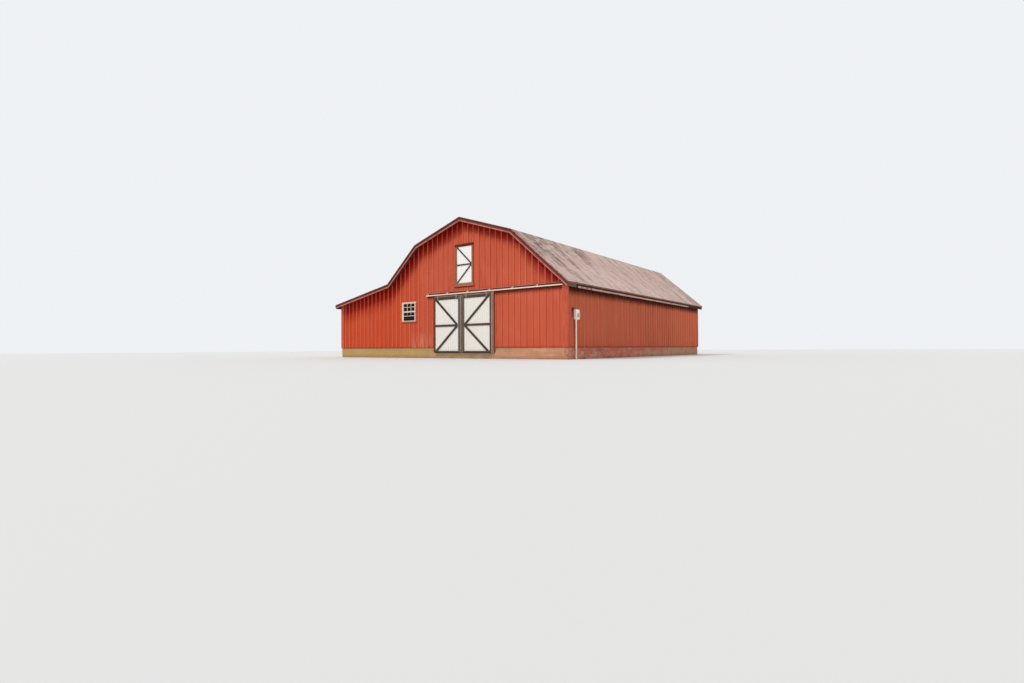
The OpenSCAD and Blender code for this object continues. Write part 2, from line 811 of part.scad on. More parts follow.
module loft_ledge() {
    reach = loft_w / 2 + loft_trim_w + girt_t / 2;
    top = loft_z - casing_t;
    color(barn_red)
        block([loft_x - reach, -end_y - ledge_t, top - ledge_h], [loft_x + reach, -end_y, top]);
}

// Electric meter on the right wall
meter_mid_y = -end_y + meter_y;

module meter_box() {
    color(cream) block([main_x, meter_mid_y - meter_w / 2, meter_z],
        [main_x + meter_d, meter_mid_y + meter_w / 2, meter_z + meter_h]);
}

module meter_glass() {
    rim = strap_t;
    color([0.78, 0.78, 0.76])
        translate([main_x + meter_d, meter_mid_y, meter_z + meter_glass_z]) rotate([0, 90, 0]) {
            cylinder(h = meter_glass_h / 3, d = meter_glass_d + 2 * rim);
            cylinder(h = meter_glass_h, d = meter_glass_d);
        }
}

module meter_riser() {
    color(cream) translate([main_x + meter_d / 2, meter_mid_y - meter_w / 5, 0])
        cylinder(h = meter_z, d = riser_d);
}

// One sliding leaf, drawn from its outer edge at x = 0 towards its meeting edge
module leaf_panel() {
    color(door_white)
        block([0, leaf_face, leaf_z], [leaf_w, leaf_back, leaf_top]);
}

module leaf_frame() {
    y0 = frame_face;
    y1 = leaf_face;
    inner_x = leaf_w - meeting_w;
    low = leaf_z + bottom_rail_w;
    top = leaf_top - top_rail_w;
    color(trim_brown) {
        block([0, y0, leaf_z], [stile_w, y1, leaf_top]);
        block([inner_x, y0, leaf_z], [leaf_w, y1, leaf_top]);
        block([0, y0, leaf_z], [leaf_w, y1, low]);
        block([0, y0, top], [leaf_w, y1, leaf_top]);
        block([0, y0, mid_rail_z - mid_rail_w / 2], [leaf_w, y1, mid_rail_z + mid_rail_w / 2]);
        intersection() {
            block([0, y0, leaf_z], [leaf_w, y1, leaf_top]);
            union() {
                diagonal([stile_w - frame_gap, top], [inner_x + frame_gap, mid_rail_z], brace_w, y0, y1);
                diagonal([stile_w - frame_gap, low], [inner_x + frame_gap, mid_rail_z], brace_w, y0, y1);
            }
        }
    }
}

// Hanger: a strap over the top rail, a bolt through the slot, and wheels in the track
module hanger(x) {
    strap_foot = leaf_top - top_rail_w + frame_gap;
    strap_top = track_z - strap_gap;
    wheel_z = track_z + track_t + wheel_gap + wheel_d / 2;
    wheel_y = (slot_w + wheel_t) / 2 + wheel_in;
    translate([x, 0, 0]) {
        block([-hanger_w / 2, frame_face - strap_t, strap_foot], [hanger_w / 2, frame_face, strap_top]);
        block([-hanger_w / 2, frame_face - strap_t, strap_top - strap_t],
            [hanger_w / 2, track_y + hanger_bolt_d, strap_top]);
        translate([0, track_y, strap_top - strap_t])
            cylinder(h = wheel_z - strap_top + strap_t, d = hanger_bolt_d);
        block([-hanger_w / 2, track_y - strap_t / 2, wheel_z - hanger_bolt_d / 2],
            [hanger_w / 2, track_y + strap_t / 2, wheel_z + hanger_bolt_d / 2]);
        for (end = [-1, 1]) translate([end * (wheel_d / 2 + wheel_in), track_y, wheel_z]) rotate([90, 0, 0]) {
            cylinder(h = 2 * wheel_y + wheel_t, d = axle_d, center = true);
            for (side = [-1, 1]) translate([0, 0, side * wheel_y])
                cylinder(h = wheel_t, d = wheel_d, center = true);
        }
    }
}

module handle() {
    bar_y = frame_face - handle_gap - handle_d / 2;
    low = mid_rail_z - handle_h / 2;
    translate([leaf_w - handle_in, bar_y, low]) {
        cylinder(h = handle_h, d = handle_d);
        for (z = [handle_d / 2, handle_h - handle_d / 2]) translate([0, 0, z]) rotate([-90, 0, 0])
            cylinder(h = handle_gap + handle_d / 2, d = handle_d * 0.7);
    }
}

module leaf_hardware() {
    color(steel) {
        hanger(hanger_in);
        hanger(leaf_w - hanger_in);
        handle();
    }
}

// The left leaf starts at its outer edge, and the right leaf is its mirror image
module on_left_leaf() {
    translate([left_leaf_x, 0, 0]) children();
}

module on_right_leaf() {
    translate([right_leaf_x, 0, 0]) mirror([1, 0, 0]) children();
}

module left_door_panel() { on_left_leaf() leaf_panel(); }
module left_door_frame() { on_left_leaf() leaf_frame(); }
module left_door_hardware() { on_left_leaf() leaf_hardware(); }
module right_door_panel() { on_right_leaf() leaf_panel(); }
module right_door_frame() { on_right_leaf() leaf_frame(); }
module right_door_hardware() { on_right_leaf() leaf_hardware(); }

foundation();
floor_slab();
front_wall_lean();
front_wall_left();
front_wall_right();
front_gable();
back_wall();
right_wall();
left_wall();
posts();
girts();
loft_beams();
loft_joists();
loft_floor();
lower_rafters();
upper_rafters();
lean_to_rafters();
collar_ties();
ridge_board();
upper_roof();
lower_roof();
lean_to_roof();
rake_boards();
eave_fascias();
corner_boards();
gutter();
downspout();
door_track();
track_brackets();
track_board();
door_lining();
window_frame();
window_glass();
loft_door_frame();
loft_door();
loft_door_braces();
loft_ledge();
meter_box();
meter_glass();
meter_riser();
left_door_panel();
left_door_frame();
left_door_hardware();
right_door_panel();
right_door_frame();
right_door_hardware();
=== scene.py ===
import math
import random

import bpy
from mathutils import Matrix, Vector


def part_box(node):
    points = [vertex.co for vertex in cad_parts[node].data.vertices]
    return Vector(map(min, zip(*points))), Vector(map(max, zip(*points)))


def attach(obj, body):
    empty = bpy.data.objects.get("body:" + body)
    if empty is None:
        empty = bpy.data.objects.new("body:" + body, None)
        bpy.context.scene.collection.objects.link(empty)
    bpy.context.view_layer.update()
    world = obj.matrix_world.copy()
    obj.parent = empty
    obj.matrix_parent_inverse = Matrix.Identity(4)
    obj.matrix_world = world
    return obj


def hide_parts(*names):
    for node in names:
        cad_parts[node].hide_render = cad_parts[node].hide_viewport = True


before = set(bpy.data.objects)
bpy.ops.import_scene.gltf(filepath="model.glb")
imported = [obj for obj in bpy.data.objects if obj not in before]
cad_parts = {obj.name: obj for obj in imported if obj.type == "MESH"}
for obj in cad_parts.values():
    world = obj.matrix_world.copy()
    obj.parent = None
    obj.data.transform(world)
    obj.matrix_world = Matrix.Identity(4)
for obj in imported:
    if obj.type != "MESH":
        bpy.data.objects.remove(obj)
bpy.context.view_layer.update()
random.seed(12)
print("barn: frame loaded,", len(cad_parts), "nodes")


# Camera, floor and light

camera = {
    "position": (16.314, -26.381, 0.459),
    "turnedLeft": 36.651,  # degrees from straight at the front
    "tiltedUp": 0.726,
    "roll": -0.262,
    "focalPixels": 532.7,
    "framePixels": 1024,
    "sensor": 36,
}

studio = {
    "floorColour": (0.80, 0.80, 0.79),
    "floorSize": 160,
    "backdrop": (0.86, 0.88, 0.90),
    "skyColour": (0.97, 0.985, 1.0),
    "skyStrength": 0.72,
    "sunColour": (1.0, 0.975, 0.94),
    "sunStrength": 1.15,
    "sunAngle": 9,
    "sunFrom": (-0.62, -0.95, 1.35),
}


def deselect():
    bpy.ops.object.select_all(action="DESELECT")


def focus(*pieces):
    deselect()
    for piece in pieces:
        piece.select_set(True)
    bpy.context.view_layer.objects.active = pieces[0]


def fresh(operator, **settings):
    # what an operator adds to the scene, alone in the selection
    deselect()
    operator(**settings)
    return bpy.context.active_object


def placeCamera():
    turn, tilt, roll = (math.radians(camera[key]) for key in ("turnedLeft", "tiltedUp", "roll"))
    ahead = Vector((-math.sin(turn) * math.cos(tilt), math.cos(turn) * math.cos(tilt), math.sin(tilt)))
    side = Vector((math.cos(turn), math.sin(turn), 0))
    above = side.cross(ahead)
    right = math.cos(roll) * side + math.sin(roll) * above
    up = math.cos(roll) * above - math.sin(roll) * side
    lens = fresh(bpy.ops.object.camera_add)
    lens.name = "photoCamera"
    axes = Matrix((right, up, -ahead)).transposed().to_4x4()
    lens.matrix_world = Matrix.Translation(camera["position"]) @ axes
    lens.data.sensor_width = camera["sensor"]
    lens.data.lens = camera["focalPixels"] * camera["sensor"] / camera["framePixels"]
    lens.data.clip_end = 500
    bpy.context.scene.camera = lens


def lightStudio():
    world = bpy.data.worlds.new("studio")
    bpy.context.scene.world = world
    world.use_nodes = True
    nodes, links = world.node_tree.nodes, world.node_tree.links
    nodes.clear()
    output = nodes.new("ShaderNodeOutputWorld")
    sky = nodes.new("ShaderNodeBackground")
    sky.inputs["Color"].default_value = (*studio["skyColour"], 1)
    sky.inputs["Strength"].default_value = studio["skyStrength"]
    backdrop = nodes.new("ShaderNodeBackground")
    backdrop.inputs["Color"].default_value = (*studio["backdrop"], 1)
    path = nodes.new("ShaderNodeLightPath")
    seen = path.outputs["Is Camera Ray"]
    for ray in ("Is Glossy Ray", "Is Transmission Ray"):
        either = nodes.new("ShaderNodeMath")
        either.operation = "MAXIMUM"
        links.new(seen, either.inputs[0])
        links.new(path.outputs[ray], either.inputs[1])
        seen = either.outputs[0]
    mix = nodes.new("ShaderNodeMixShader")
    links.new(seen, mix.inputs[0])
    links.new(sky.outputs[0], mix.inputs[1])
    links.new(backdrop.outputs[0], mix.inputs[2])
    links.new(mix.outputs[0], output.inputs["Surface"])
    sun = fresh(bpy.ops.object.light_add, type="SUN")
    sun.name = "softSun"
    sun.data.energy = studio["sunStrength"]
    sun.data.angle = math.radians(studio["sunAngle"])
    sun.data.color = studio["sunColour"]
    sun.rotation_mode = "QUATERNION"
    sun.rotation_quaternion = Vector(studio["sunFrom"]).to_track_quat("Z", "Y")
    bpy.context.scene.view_settings.view_transform = "Standard"


placeCamera()
lightStudio()
print("barn: camera and light")


# Shader tools


def tone(red, green, blue):
    # a colour as it is read off a screen, made linear
    parts = [value / 255 for value in (red, green, blue)]
    return tuple(p / 12.92 if p < 0.04 else ((p + 0.055) / 1.055) ** 2.4 for p in parts) + (1.0,)


class Wire:
    # one value of a finish, which takes Python's own operators

    def __init__(self, finish, socket):
        self.finish, self.socket = finish, socket

    def maths(self, operation, first, second=0.0):
        return self.finish.node("ShaderNodeMath", {"operation": operation}, {0: first, 1: second})

    def __add__(self, other):
        return self.maths("ADD", self, other)

    def __radd__(self, other):
        return self.maths("ADD", other, self)

    def __sub__(self, other):
        return self.maths("SUBTRACT", self, other)

    def __rsub__(self, other):
        return self.maths("SUBTRACT", other, self)

    def __mul__(self, other):
        return self.maths("MULTIPLY", self, other)

    def __rmul__(self, other):
        return self.maths("MULTIPLY", other, self)

    def __truediv__(self, other):
        return self.maths("DIVIDE", self, other)

    def floor(self):
        return self.maths("FLOOR", self)

    def least(self, other):
        return self.maths("MINIMUM", self, other)

    def most(self, other):
        return self.maths("MAXIMUM", self, other)

    def size(self):
        return self.maths("ABSOLUTE", self)


class Finish:
    # a material and the few nodes that its surface needs

    def __init__(self, name, roughness=0.8, metallic=0.0):
        self.material = bpy.data.materials.new(name)
        self.material.use_nodes = True
        self.tree = self.material.node_tree
        self.tree.nodes.clear()
        self.output = self.tree.nodes.new("ShaderNodeOutputMaterial")
        self.shader = self.tree.nodes.new("ShaderNodeBsdfPrincipled")
        self.tree.links.new(self.shader.outputs[0], self.output.inputs["Surface"])
        self.set("Roughness", roughness)
        self.set("Metallic", metallic)
        self.place = self.node("ShaderNodeTexCoord", output="Object")
        self.x, self.y, self.z = (
            self.node("ShaderNodeSeparateXYZ", values={0: self.place}, output=axis) for axis in "XYZ"
        )

    def feed(self, socket, value):
        if isinstance(value, Wire):
            self.tree.links.new(value.socket, socket)
        else:
            socket.default_value = value

    def set(self, name, value):
        self.feed(self.shader.inputs[name], value)

    def node(self, kind, settings=None, values=None, output=0):
        made = self.tree.nodes.new(kind)
        for key, value in (settings or {}).items():
            setattr(made, key, value)
        for key, value in (values or {}).items():
            self.feed(made.inputs[key], value)
        return Wire(self, made.outputs[output])

    def spread(self, scale=(1, 1, 1), turn=(0, 0, 0)):
        # the object's own coordinates, turned and then stretched
        turned = self.place
        if any(turn):
            values = {"Vector": turned, "Rotation": [math.radians(part) for part in turn]}
            turned = self.node("ShaderNodeMapping", values=values)
        return self.node("ShaderNodeVectorMath", {"operation": "MULTIPLY"}, {0: turned, 1: scale})

    def noise(self, scale, detail=3.0, stretch=None, turn=(0, 0, 0), roughness=0.55, warp=0.0):
        values = {"Scale": scale, "Detail": detail, "Roughness": roughness, "Distortion": warp}
        values["Vector"] = self.spread(stretch, turn) if stretch else self.place
        return self.node("ShaderNodeTexNoise", values=values)

    def fade(self, value, low, high):
        # 0 at low, 1 at high, smooth between
        values = {"Value": value, "From Min": low, "From Max": high}
        return self.node("ShaderNodeMapRange", {"interpolation_type": "SMOOTHSTEP"}, values)

    def lot(self, *numbers):
        # a steady random number for each combination of the given numbers
        row = list(numbers) + [0.0] * (3 - len(numbers))
        spot = self.node("ShaderNodeCombineXYZ", values=dict(enumerate(row)))
        return self.node("ShaderNodeTexWhiteNoise", {"noise_dimensions": "3D"}, {"Vector": spot}, "Value")

    def mix(self, first, second, share):
        settings = {"data_type": "RGBA"}
        return self.node("ShaderNodeMix", settings, {0: share, 6: first, 7: second}, 2)

    def shade(self, colour, share, tint=(0, 0, 0)):
        # draws a colour towards a darker tint of itself, by a share from 0 to 1
        settings = {"data_type": "RGBA", "blend_type": "MULTIPLY"}
        return self.node("ShaderNodeMix", settings, {0: share, 6: colour, 7: (*tint, 1)}, 2)

    def relief(self, height, depth, strength=1.0):
        values = {"Height": height, "Distance": depth, "Strength": strength}
        self.set("Normal", self.node("ShaderNodeBump", values=values))

    def done(self, colour):
        self.set("Base Color", colour)
        return self.material


# Modelling tools


def between(low, high):
    # where a unit cube becomes a board between two opposite corners
    low, high = Vector(low), Vector(high)
    return Matrix.Translation((low + high) / 2) @ Matrix.Diagonal((*(high - low), 1))


def slab(xs, ys, zs):
    # a board between two values along each axis, in any order
    low, high = zip(*(sorted(pair) for pair in (xs, ys, zs)))
    return between(low, high)


def along(start, end, width, depth, outward, past=0.0):
    # a board from start to end, whose broad face looks outward and whose back lies on the line
    start, end, outward = Vector(start), Vector(end), Vector(outward).normalized()
    run = (end - start).normalized()
    start, end = start - run * past, end + run * past
    side = outward.cross(run)
    axes = Matrix((run, side, outward)).transposed().to_4x4()
    middle = (start + end) / 2 + outward * depth / 2
    return Matrix.Translation(middle) @ axes @ Matrix.Diagonal(((end - start).length, width, depth, 1))


def settle(*pieces):
    focus(*pieces)
    bpy.ops.object.transform_apply(location=True, rotation=True, scale=True)


def placed(piece, place):
    piece.matrix_world = place
    settle(piece)
    return piece


def named(piece, name):
    piece.name = name
    piece.data.name = name
    return piece


def joined(name, pieces):
    focus(*pieces)
    if len(pieces) > 1:
        bpy.ops.object.join()
    return named(bpy.context.active_object, name)


def twinOf(piece):
    twin = piece.copy()
    twin.data = piece.data.copy()
    bpy.context.collection.objects.link(twin)
    return twin


def copies(pattern, name, places):
    made = []
    for place in places:
        twin = twinOf(pattern)
        twin.matrix_world = place @ pattern.matrix_world
        made.append(twin)
    bpy.data.objects.remove(pattern)
    settle(*made)
    return joined(name, made)


def cutAway(piece, cuts):
    # each cut is a point of a plane and the direction that is taken away
    focus(piece)
    bpy.ops.object.mode_set(mode="EDIT")
    for point, direction in cuts:
        bpy.ops.mesh.select_all(action="SELECT")
        bpy.ops.mesh.bisect(plane_co=point, plane_no=direction, use_fill=True, clear_outer=True)
    bpy.ops.object.mode_set(mode="OBJECT")
    return piece


def modified(piece, kind, **settings):
    focus(piece)
    modifier = piece.modifiers.new(kind.lower(), kind)
    for key, value in settings.items():
        setattr(modifier, key, value)
    bpy.ops.object.modifier_apply(modifier=modifier.name)
    return piece


def eased(piece, width, segments=1):
    return modified(
        piece, "BEVEL", width=width, segments=segments, limit_method="ANGLE", angle_limit=math.radians(30)
    )


def repeated(piece, count, step):
    return modified(
        piece, "ARRAY", count=count, use_relative_offset=False, use_constant_offset=True,
        constant_offset_displace=step,
    )


# bevels along the edges of framing boards, of thin strips and of sheet metal
boardEdge, stripEdge, sheetEdge = 0.004, 0.002, 0.0008


def joinery(name, places, edge=0.003, cuts=(), segments=1):
    piece = copies(fresh(bpy.ops.mesh.primitive_cube_add, size=1), name, places)
    if cuts:
        cutAway(piece, cuts)
    return eased(piece, edge, segments) if edge else piece


def pickPoints(piece, chosen):
    # selects the vertices whose place passes a test, and stays in edit mode
    focus(piece)
    bpy.ops.object.mode_set(mode="EDIT")
    bpy.ops.mesh.select_all(action="DESELECT")
    bpy.ops.object.mode_set(mode="OBJECT")
    for vertex in piece.data.vertices:
        vertex.select = chosen(vertex.co)
    bpy.ops.object.mode_set(mode="EDIT")


def movePoints(piece, chosen, shift):
    pickPoints(piece, chosen)
    bpy.ops.transform.translate(value=shift)
    bpy.ops.object.mode_set(mode="OBJECT")
    return piece


def drawnAlong(route):
    # extrudes what is picked from point to point of a route in the XZ plane
    for before, after in zip(route, route[1:]):
        move = (after[0] - before[0], 0, after[1] - before[1])
        bpy.ops.mesh.extrude_region_move(TRANSFORM_OT_translate={"value": move})


def roughened(piece, reach, seed):
    focus(piece)
    bpy.ops.object.mode_set(mode="EDIT")
    bpy.ops.mesh.select_all(action="SELECT")
    bpy.ops.transform.vertex_random(offset=reach, uniform=1.0, seed=seed)
    bpy.ops.object.mode_set(mode="OBJECT")
    return piece


def painted(piece, material):
    piece.data.materials.clear()
    piece.data.materials.append(material)
    return piece


def timber(name, places, material, edge=0.003, cuts=()):
    return painted(joinery(name, places, edge, cuts), material)


def fitOut(piece, body, slot, material, *nodes):
    # gives a new piece its finish, its body and the CAD nodes that it stands for
    if material:
        painted(piece, material)
    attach(piece, body)
    if nodes:
        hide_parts(*nodes)
    return piece


def dress(node, material):
    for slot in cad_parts[node].material_slots:
        slot.material = material


# The barn's own lines, as in the part's source

barn = {
    "mainX": 5.485,
    "leanX": 9.145,
    "endY": 8.13,
    "baseZ": 0.5,
    "breakX": 2.93,
    "leanJoinX": 4.95,
    "upperAngle": 17.95,
    "lowerAngle": 41.1,
    "leanAngle": 10.9,
    "roofDepth": 0.05,
}

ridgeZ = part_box("upper_roof")[1].z
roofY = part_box("upper_roof")[1].y
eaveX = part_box("lower_roof")[1].x
leanEaveX = -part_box("lean_to_roof")[0].x
upperRise, lowerRise, leanRise = (
    math.tan(math.radians(barn[key])) for key in ("upperAngle", "lowerAngle", "leanAngle")
)
breakZ = ridgeZ - upperRise * barn["breakX"]
leanJoinZ = breakZ - lowerRise * (barn["leanJoinX"] - barn["breakX"])


def plumb(rise):
    return math.sqrt(1 + rise * rise)


def upperLine(x, depth):
    return ridgeZ - upperRise * abs(x) - depth * plumb(upperRise)


def lowerLine(x, depth):
    return breakZ - lowerRise * (abs(x) - barn["breakX"]) - depth * plumb(lowerRise)


def leanLine(x, depth):
    return leanJoinZ - leanRise * (abs(x) - barn["leanJoinX"]) - depth * plumb(leanRise)


def roofLine(x, depth):
    # height of the roof over a point, at a depth under its top
    lower = lowerLine(x, depth)
    if x < 0:
        lower = max(lower, leanLine(x, depth))
    return min(upperLine(x, depth), lower)


def breakAt(depth):
    return barn["breakX"] - depth * (plumb(lowerRise) - plumb(upperRise)) / (lowerRise - upperRise)


def joinAt(depth):
    return barn["leanJoinX"] - depth * (plumb(lowerRise) - plumb(leanRise)) / (lowerRise - leanRise)


# Siding battens

siding = {
    "pitch": 0.322,
    "width": 0.052,
    "depth": 0.021,
    "edge": 0.003,
    "firstX": -8.76,
    "lastX": 5.10,
    "lastY": 7.80,
    "footLap": 0.006,
    "headPast": 0.08,
    "underRoof": 0.002,
    "topGap": 0.004,
    "slack": 0.0015,
    "shortest": 0.03,
}

casing = {
    "left": (-1.915, -1.830),
    "right": (1.690, 1.755),
    "rightEdge": (1.756, 1.800),
    "edgeBack": 0.006,
    "foot": 0.27,
    "underBoard": 0.002,
    "depth": 0.025,
}


def hole(node, margin=0.0, across=0):
    # the part of a wall that a node covers
    low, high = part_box(node)
    return (low[across] - margin, high[across] + margin, low.z - margin, high.z + margin)


def freeSpans(low, high, taken):
    spans = [(low, high)]
    for start, end in taken:
        spans = [part for a, b in spans for part in ((a, min(b, start)), (max(a, end), b))]
        spans = [(a, b) for a, b in spans if b - a > siding["shortest"]]
    return spans


def battenRow(first, last):
    count = round((last - first) / siding["pitch"])
    return [first + (last - first) * step / count for step in range(count + 1)]


def battenSpans(place, head, blocked):
    # heights of the free lengths of one batten, from the siding's base
    half = siding["width"] / 2
    taken = [(low, high) for start, end, low, high in blocked if start - half < place < end + half]
    return freeSpans(barn["baseZ"] - siding["footLap"], head, taken)


def roofCuts(depth):
    cuts = []
    for side in (1, -1):
        cuts.append(((0, 0, upperLine(0, depth)), (side * upperRise, 0, 1)))
        middle = side * (barn["breakX"] + 1)
        cuts.append(((middle, 0, lowerLine(middle, depth)), (side * lowerRise, 0, 1)))
    return cuts


def endBattens(name, side, blocked):
    # side is -1 at the front and 1 at the back
    half = siding["width"] / 2
    face = side * barn["endY"]
    out = face + side * siding["depth"]
    under = barn["roofDepth"] + siding["underRoof"]
    main, lean = [], []
    for x in battenRow(siding["firstX"], siding["lastX"]):
        group = lean if x < -barn["leanJoinX"] + 0.02 else main
        for span in battenSpans(x, roofLine(x, under) + siding["headPast"], blocked):
            slack = random.uniform(-siding["slack"], siding["slack"])
            group.append(slab((x - half, x + half + slack), (face, out), span))
    leanCut = ((-7, 0, leanLine(-7, under)), (-leanRise, 0, 1))
    parts = [
        joinery(name + "Main", main, 0, roofCuts(under)),
        joinery(name + "Lean", lean, 0, [leanCut]),
    ]
    return eased(joined(name, parts), siding["edge"])


def sideBattens(name, side, top, blocked):
    half = siding["width"] / 2
    wall = barn["mainX"] if side > 0 else -barn["leanX"]
    out = wall + side * siding["depth"]
    rows = []
    for y in battenRow(-siding["lastY"], siding["lastY"]):
        for span in battenSpans(y, top, blocked):
            slack = random.uniform(-siding["slack"], siding["slack"])
            rows.append(slab((wall, out), (y - half, y + half + slack), span))
    return joinery(name, rows, siding["edge"])


# Finishes

paints = {
    "red": (209, 98, 70),
    "redRich": (219, 82, 36),
    "redDeep": (164, 52, 30),
    "redFaded": (224, 112, 86),
    "battenHighlight": (238, 120, 92),
    # dark red for painted shade under overhangs and beside trim
    "redShade": (96, 34, 20),
    "redSide": (200, 110, 78),
    "redFar": (228, 122, 86),
    "bareWood": (206, 150, 128),
    "wornPink": (224, 146, 120),
    "mauve": (140, 70, 62),
    "mauveDark": (92, 38, 32),
    "palePink": (200, 130, 116),
    "paleGrey": (182, 150, 134),
    "brown": (80, 68, 54),
    "brownDark": (54, 44, 34),
    "brownDeep": (66, 55, 42),
    "brownMid": (106, 94, 80),
    "brownWarm": (112, 88, 74),
    "brownGrey": (142, 130, 116),
    "redBrown": (122, 66, 48),
    "redTan": (152, 90, 72),
    "tanGrey": (150, 124, 110),
    "eaveShade": (62, 30, 24),
    "eavePale": (206, 174, 158),
    "stripGrey": (182, 168, 152),
    "roseBoard": (176, 120, 104),
    "ledgeRose": (184, 104, 84),
    "trackCream": (255, 228, 208),
    "rosePale": (198, 150, 128),
    "white": (242, 238, 231),
    "whiteDirt": (206, 196, 182),
    "brightWhite": (255, 251, 248),
    "cream": (248, 222, 200),
    "creamPale": (255, 246, 234),
    "creamWarm": (255, 236, 214),
    "rust": (132, 74, 44),
    "lumber": (150, 118, 82),
    "lumberDark": (96, 72, 48),
    "shingle": (228, 199, 189),
    "shingleDark": (154, 128, 118),
    "shinglePale": (242, 217, 208),
    "moss": (146, 126, 106),
    "concrete": (184, 150, 118),
    "concretePale": (214, 190, 158),
    "concreteMauve": (172, 116, 98),
    "concreteSand": (190, 158, 94),
    "concreteRose": (206, 142, 106),
    "concreteRosy": (194, 98, 80),
    "concretePink": (226, 180, 158),
    "concretePurple": (124, 90, 90),
    "floorGrey": (150, 144, 134),
}


def colour(name):
    return tone(*paints[name])


def roofOver(f):
    # height of the roof's top over a point of an end wall
    reach = f.x.size()
    upper = ridgeZ - upperRise * reach
    lower = breakZ - lowerRise * (reach - barn["breakX"])
    lean = leanJoinZ - leanRise * (reach - barn["leanJoinX"]) - f.x.most(0.0) * 9.0
    return upper.least(lower.most(lean))


def outdoors(f):
    # 0 within the walls and 1 past them
    ends = f.fade(f.y.size(), barn["endY"] - 0.02, barn["endY"] - 0.01)
    right = f.fade(f.x, barn["mainX"] - 0.02, barn["mainX"] - 0.01)
    return ends.most(right).most(f.fade(0.0 - f.x, barn["leanX"] - 0.02, barn["leanX"] - 0.01))


def sidingPaint(name, axis, start, main, battenShading, paintedShadow, worn=None, shadowMarks=()):
    # faded paint on upright boards and battens, with painted shade between the battens, a painted highlight
    # on them, a painted shadow under the roof edge and painted shadows under things on the wall; axis runs
    # across the boards
    f = Finish(name)
    across = {"x": f.x, "y": f.y}[axis]
    place = (across - start) / siding["pitch"]
    board = place.floor()
    chance = f.lot(board, 3.7)
    offset = (place - board - 0.5).size()
    batten = f.fade(offset, 0.34, 0.43)
    strength = battenShading(f)
    streaks = f.noise(1.0, 5, (24, 24, 0.7), warp=0.6)
    cloud = f.noise(0.5, 4)
    chalk = f.noise(1.0, 6, (2.6, 2.6, 0.6))
    left = f.fade(f.x, -1.8, -5.5) * f.fade(f.y, 8.1, -8.0)
    base = f.mix(colour(main), colour("redRich"), left * 0.9)
    base = f.mix(base, colour("redFar"), f.fade(f.y, 0.0, 7.0) * 0.7)
    base = f.mix(base, colour("redDeep"), f.fade(streaks + chance * 0.24, 0.56, 1.0) * 0.4)
    base = f.mix(base, colour("redFaded"), f.fade(chalk + cloud, 0.94, 1.30) * (0.5 - left * 0.32))
    # painted shade on the boards between the battens and a painted highlight on the battens
    base = f.mix(base, colour("redDeep"), (1 - batten) * strength * 0.36)
    base = f.mix(base, colour("redFaded"), batten * strength)
    # painted shadow under the roof edge, weaker on the battens, which also get a painted highlight there
    under = roofOver(f) - f.z + (f.noise(3.0, 4) - 0.5) * 0.14
    full = strength * paintedShadow["lower"] + paintedShadow["full"]
    reach = (strength * paintedShadow["longer"] + paintedShadow["none"] + (chance - 0.5) * paintedShadow["uneven"]) - full
    depth = (under - full) / reach
    shadowShare = f.fade(depth, 1.0, 0.0) * (1 - batten * paintedShadow["battenSpared"]) * paintedShadow["share"]
    base = f.shade(base, shadowShare, paintedShadow["tint"])
    base = f.mix(base, colour("battenHighlight"), f.fade(depth, 1.0, 0.1) * batten * strength * paintedShadow["highlight"])
    foot = f.fade(f.z + f.noise(7, 4) * 0.10, 0.66, 0.54)
    base = f.mix(base, colour("redDeep"), foot * 0.5)
    # the sides with the doors and the meter
    seen = f.fade(f.y, 1.0, -1.0) * f.fade(f.x, -9.13, -9.05)
    if worn:
        middle, half = worn
        near = f.fade((across - middle).size(), half, half * 0.4) * f.fade(f.z, 1.40, 0.75)
        flakes = f.fade(f.noise(1.0, 6, (9, 9, 1.1), roughness=0.6), 0.38, 0.62)
        base = f.mix(base, colour("wornPink"), near * flakes * seen * 0.6)
    specks = f.fade(f.noise(1.0, 7, (50, 50, 6), roughness=0.75), 0.66, 0.74)
    base = f.mix(base, colour("bareWood"), specks * (0.3 - left * 0.15))
    # painted shadows under the track, the loft ledge and the window, and beside the meter
    for low, high, foot, head, share in shadowMarks:
        spot = f.fade(across, low - 0.03, low + 0.02) * f.fade(across, high + 0.03, high - 0.02)
        spot = spot * f.fade(f.z, foot, head - 0.01) * f.fade(f.z, head + 0.04, head + 0.02)
        base = f.shade(base, spot * seen * share, (0.16, 0.06, 0.05))
    base = f.mix(colour("lumber"), base, outdoors(f))
    f.set("Roughness", 0.72 + streaks * 0.25)
    f.set("Specular IOR Level", 0.12)
    f.relief(f.noise(1.0, 7, (90, 90, 4), roughness=0.7) + chance * 0.2, 0.003, 0.5)
    return f.done(base)


def boardPaint(name, main, dark, pale, grain, turn=(0, 0, 0), wear=0.3):
    # an old coat on sawn boards, worn along the grain
    f = Finish(name, 0.78)
    streaks = f.noise(1.0, 6, grain, turn, 0.65, 0.4)
    cloud = f.noise(1.3, 4)
    base = f.mix(colour(main), colour(dark), f.fade(streaks + cloud * 0.35, 0.60, 0.90) * 0.8)
    lift = f.fade(f.noise(1.0, 8, grain, turn, 0.75) - cloud * 0.2, 0.42, 0.56)
    base = f.mix(base, colour(pale), lift * wear)
    f.set("Roughness", 0.68 + streaks * 0.25)
    f.set("Specular IOR Level", 0.2)
    f.relief(f.noise(1.0, 7, [part * 2 for part in grain], turn, 0.7), 0.003, 0.6)
    return f.done(base)


def whitePaint(name, main, dirt=1.0):
    f = Finish(name)
    streaks = f.noise(1.0, 6, (38, 38, 1.6), roughness=0.7)
    cloud = f.noise(1.1, 4)
    base = f.mix(colour(main), colour("whiteDirt"), f.fade(streaks + cloud * 0.5, 0.80, 1.10) * 0.45 * dirt)
    foot = f.fade(f.z + f.noise(9, 4) * 0.25, 0.62, 0.35)
    base = f.mix(base, colour("whiteDirt"), foot * 0.5)
    f.set("Roughness", 0.6 + streaks * 0.3)
    f.relief(f.noise(1.0, 7, (90, 90, 4), roughness=0.7), 0.002, 0.5)
    return f.done(base)


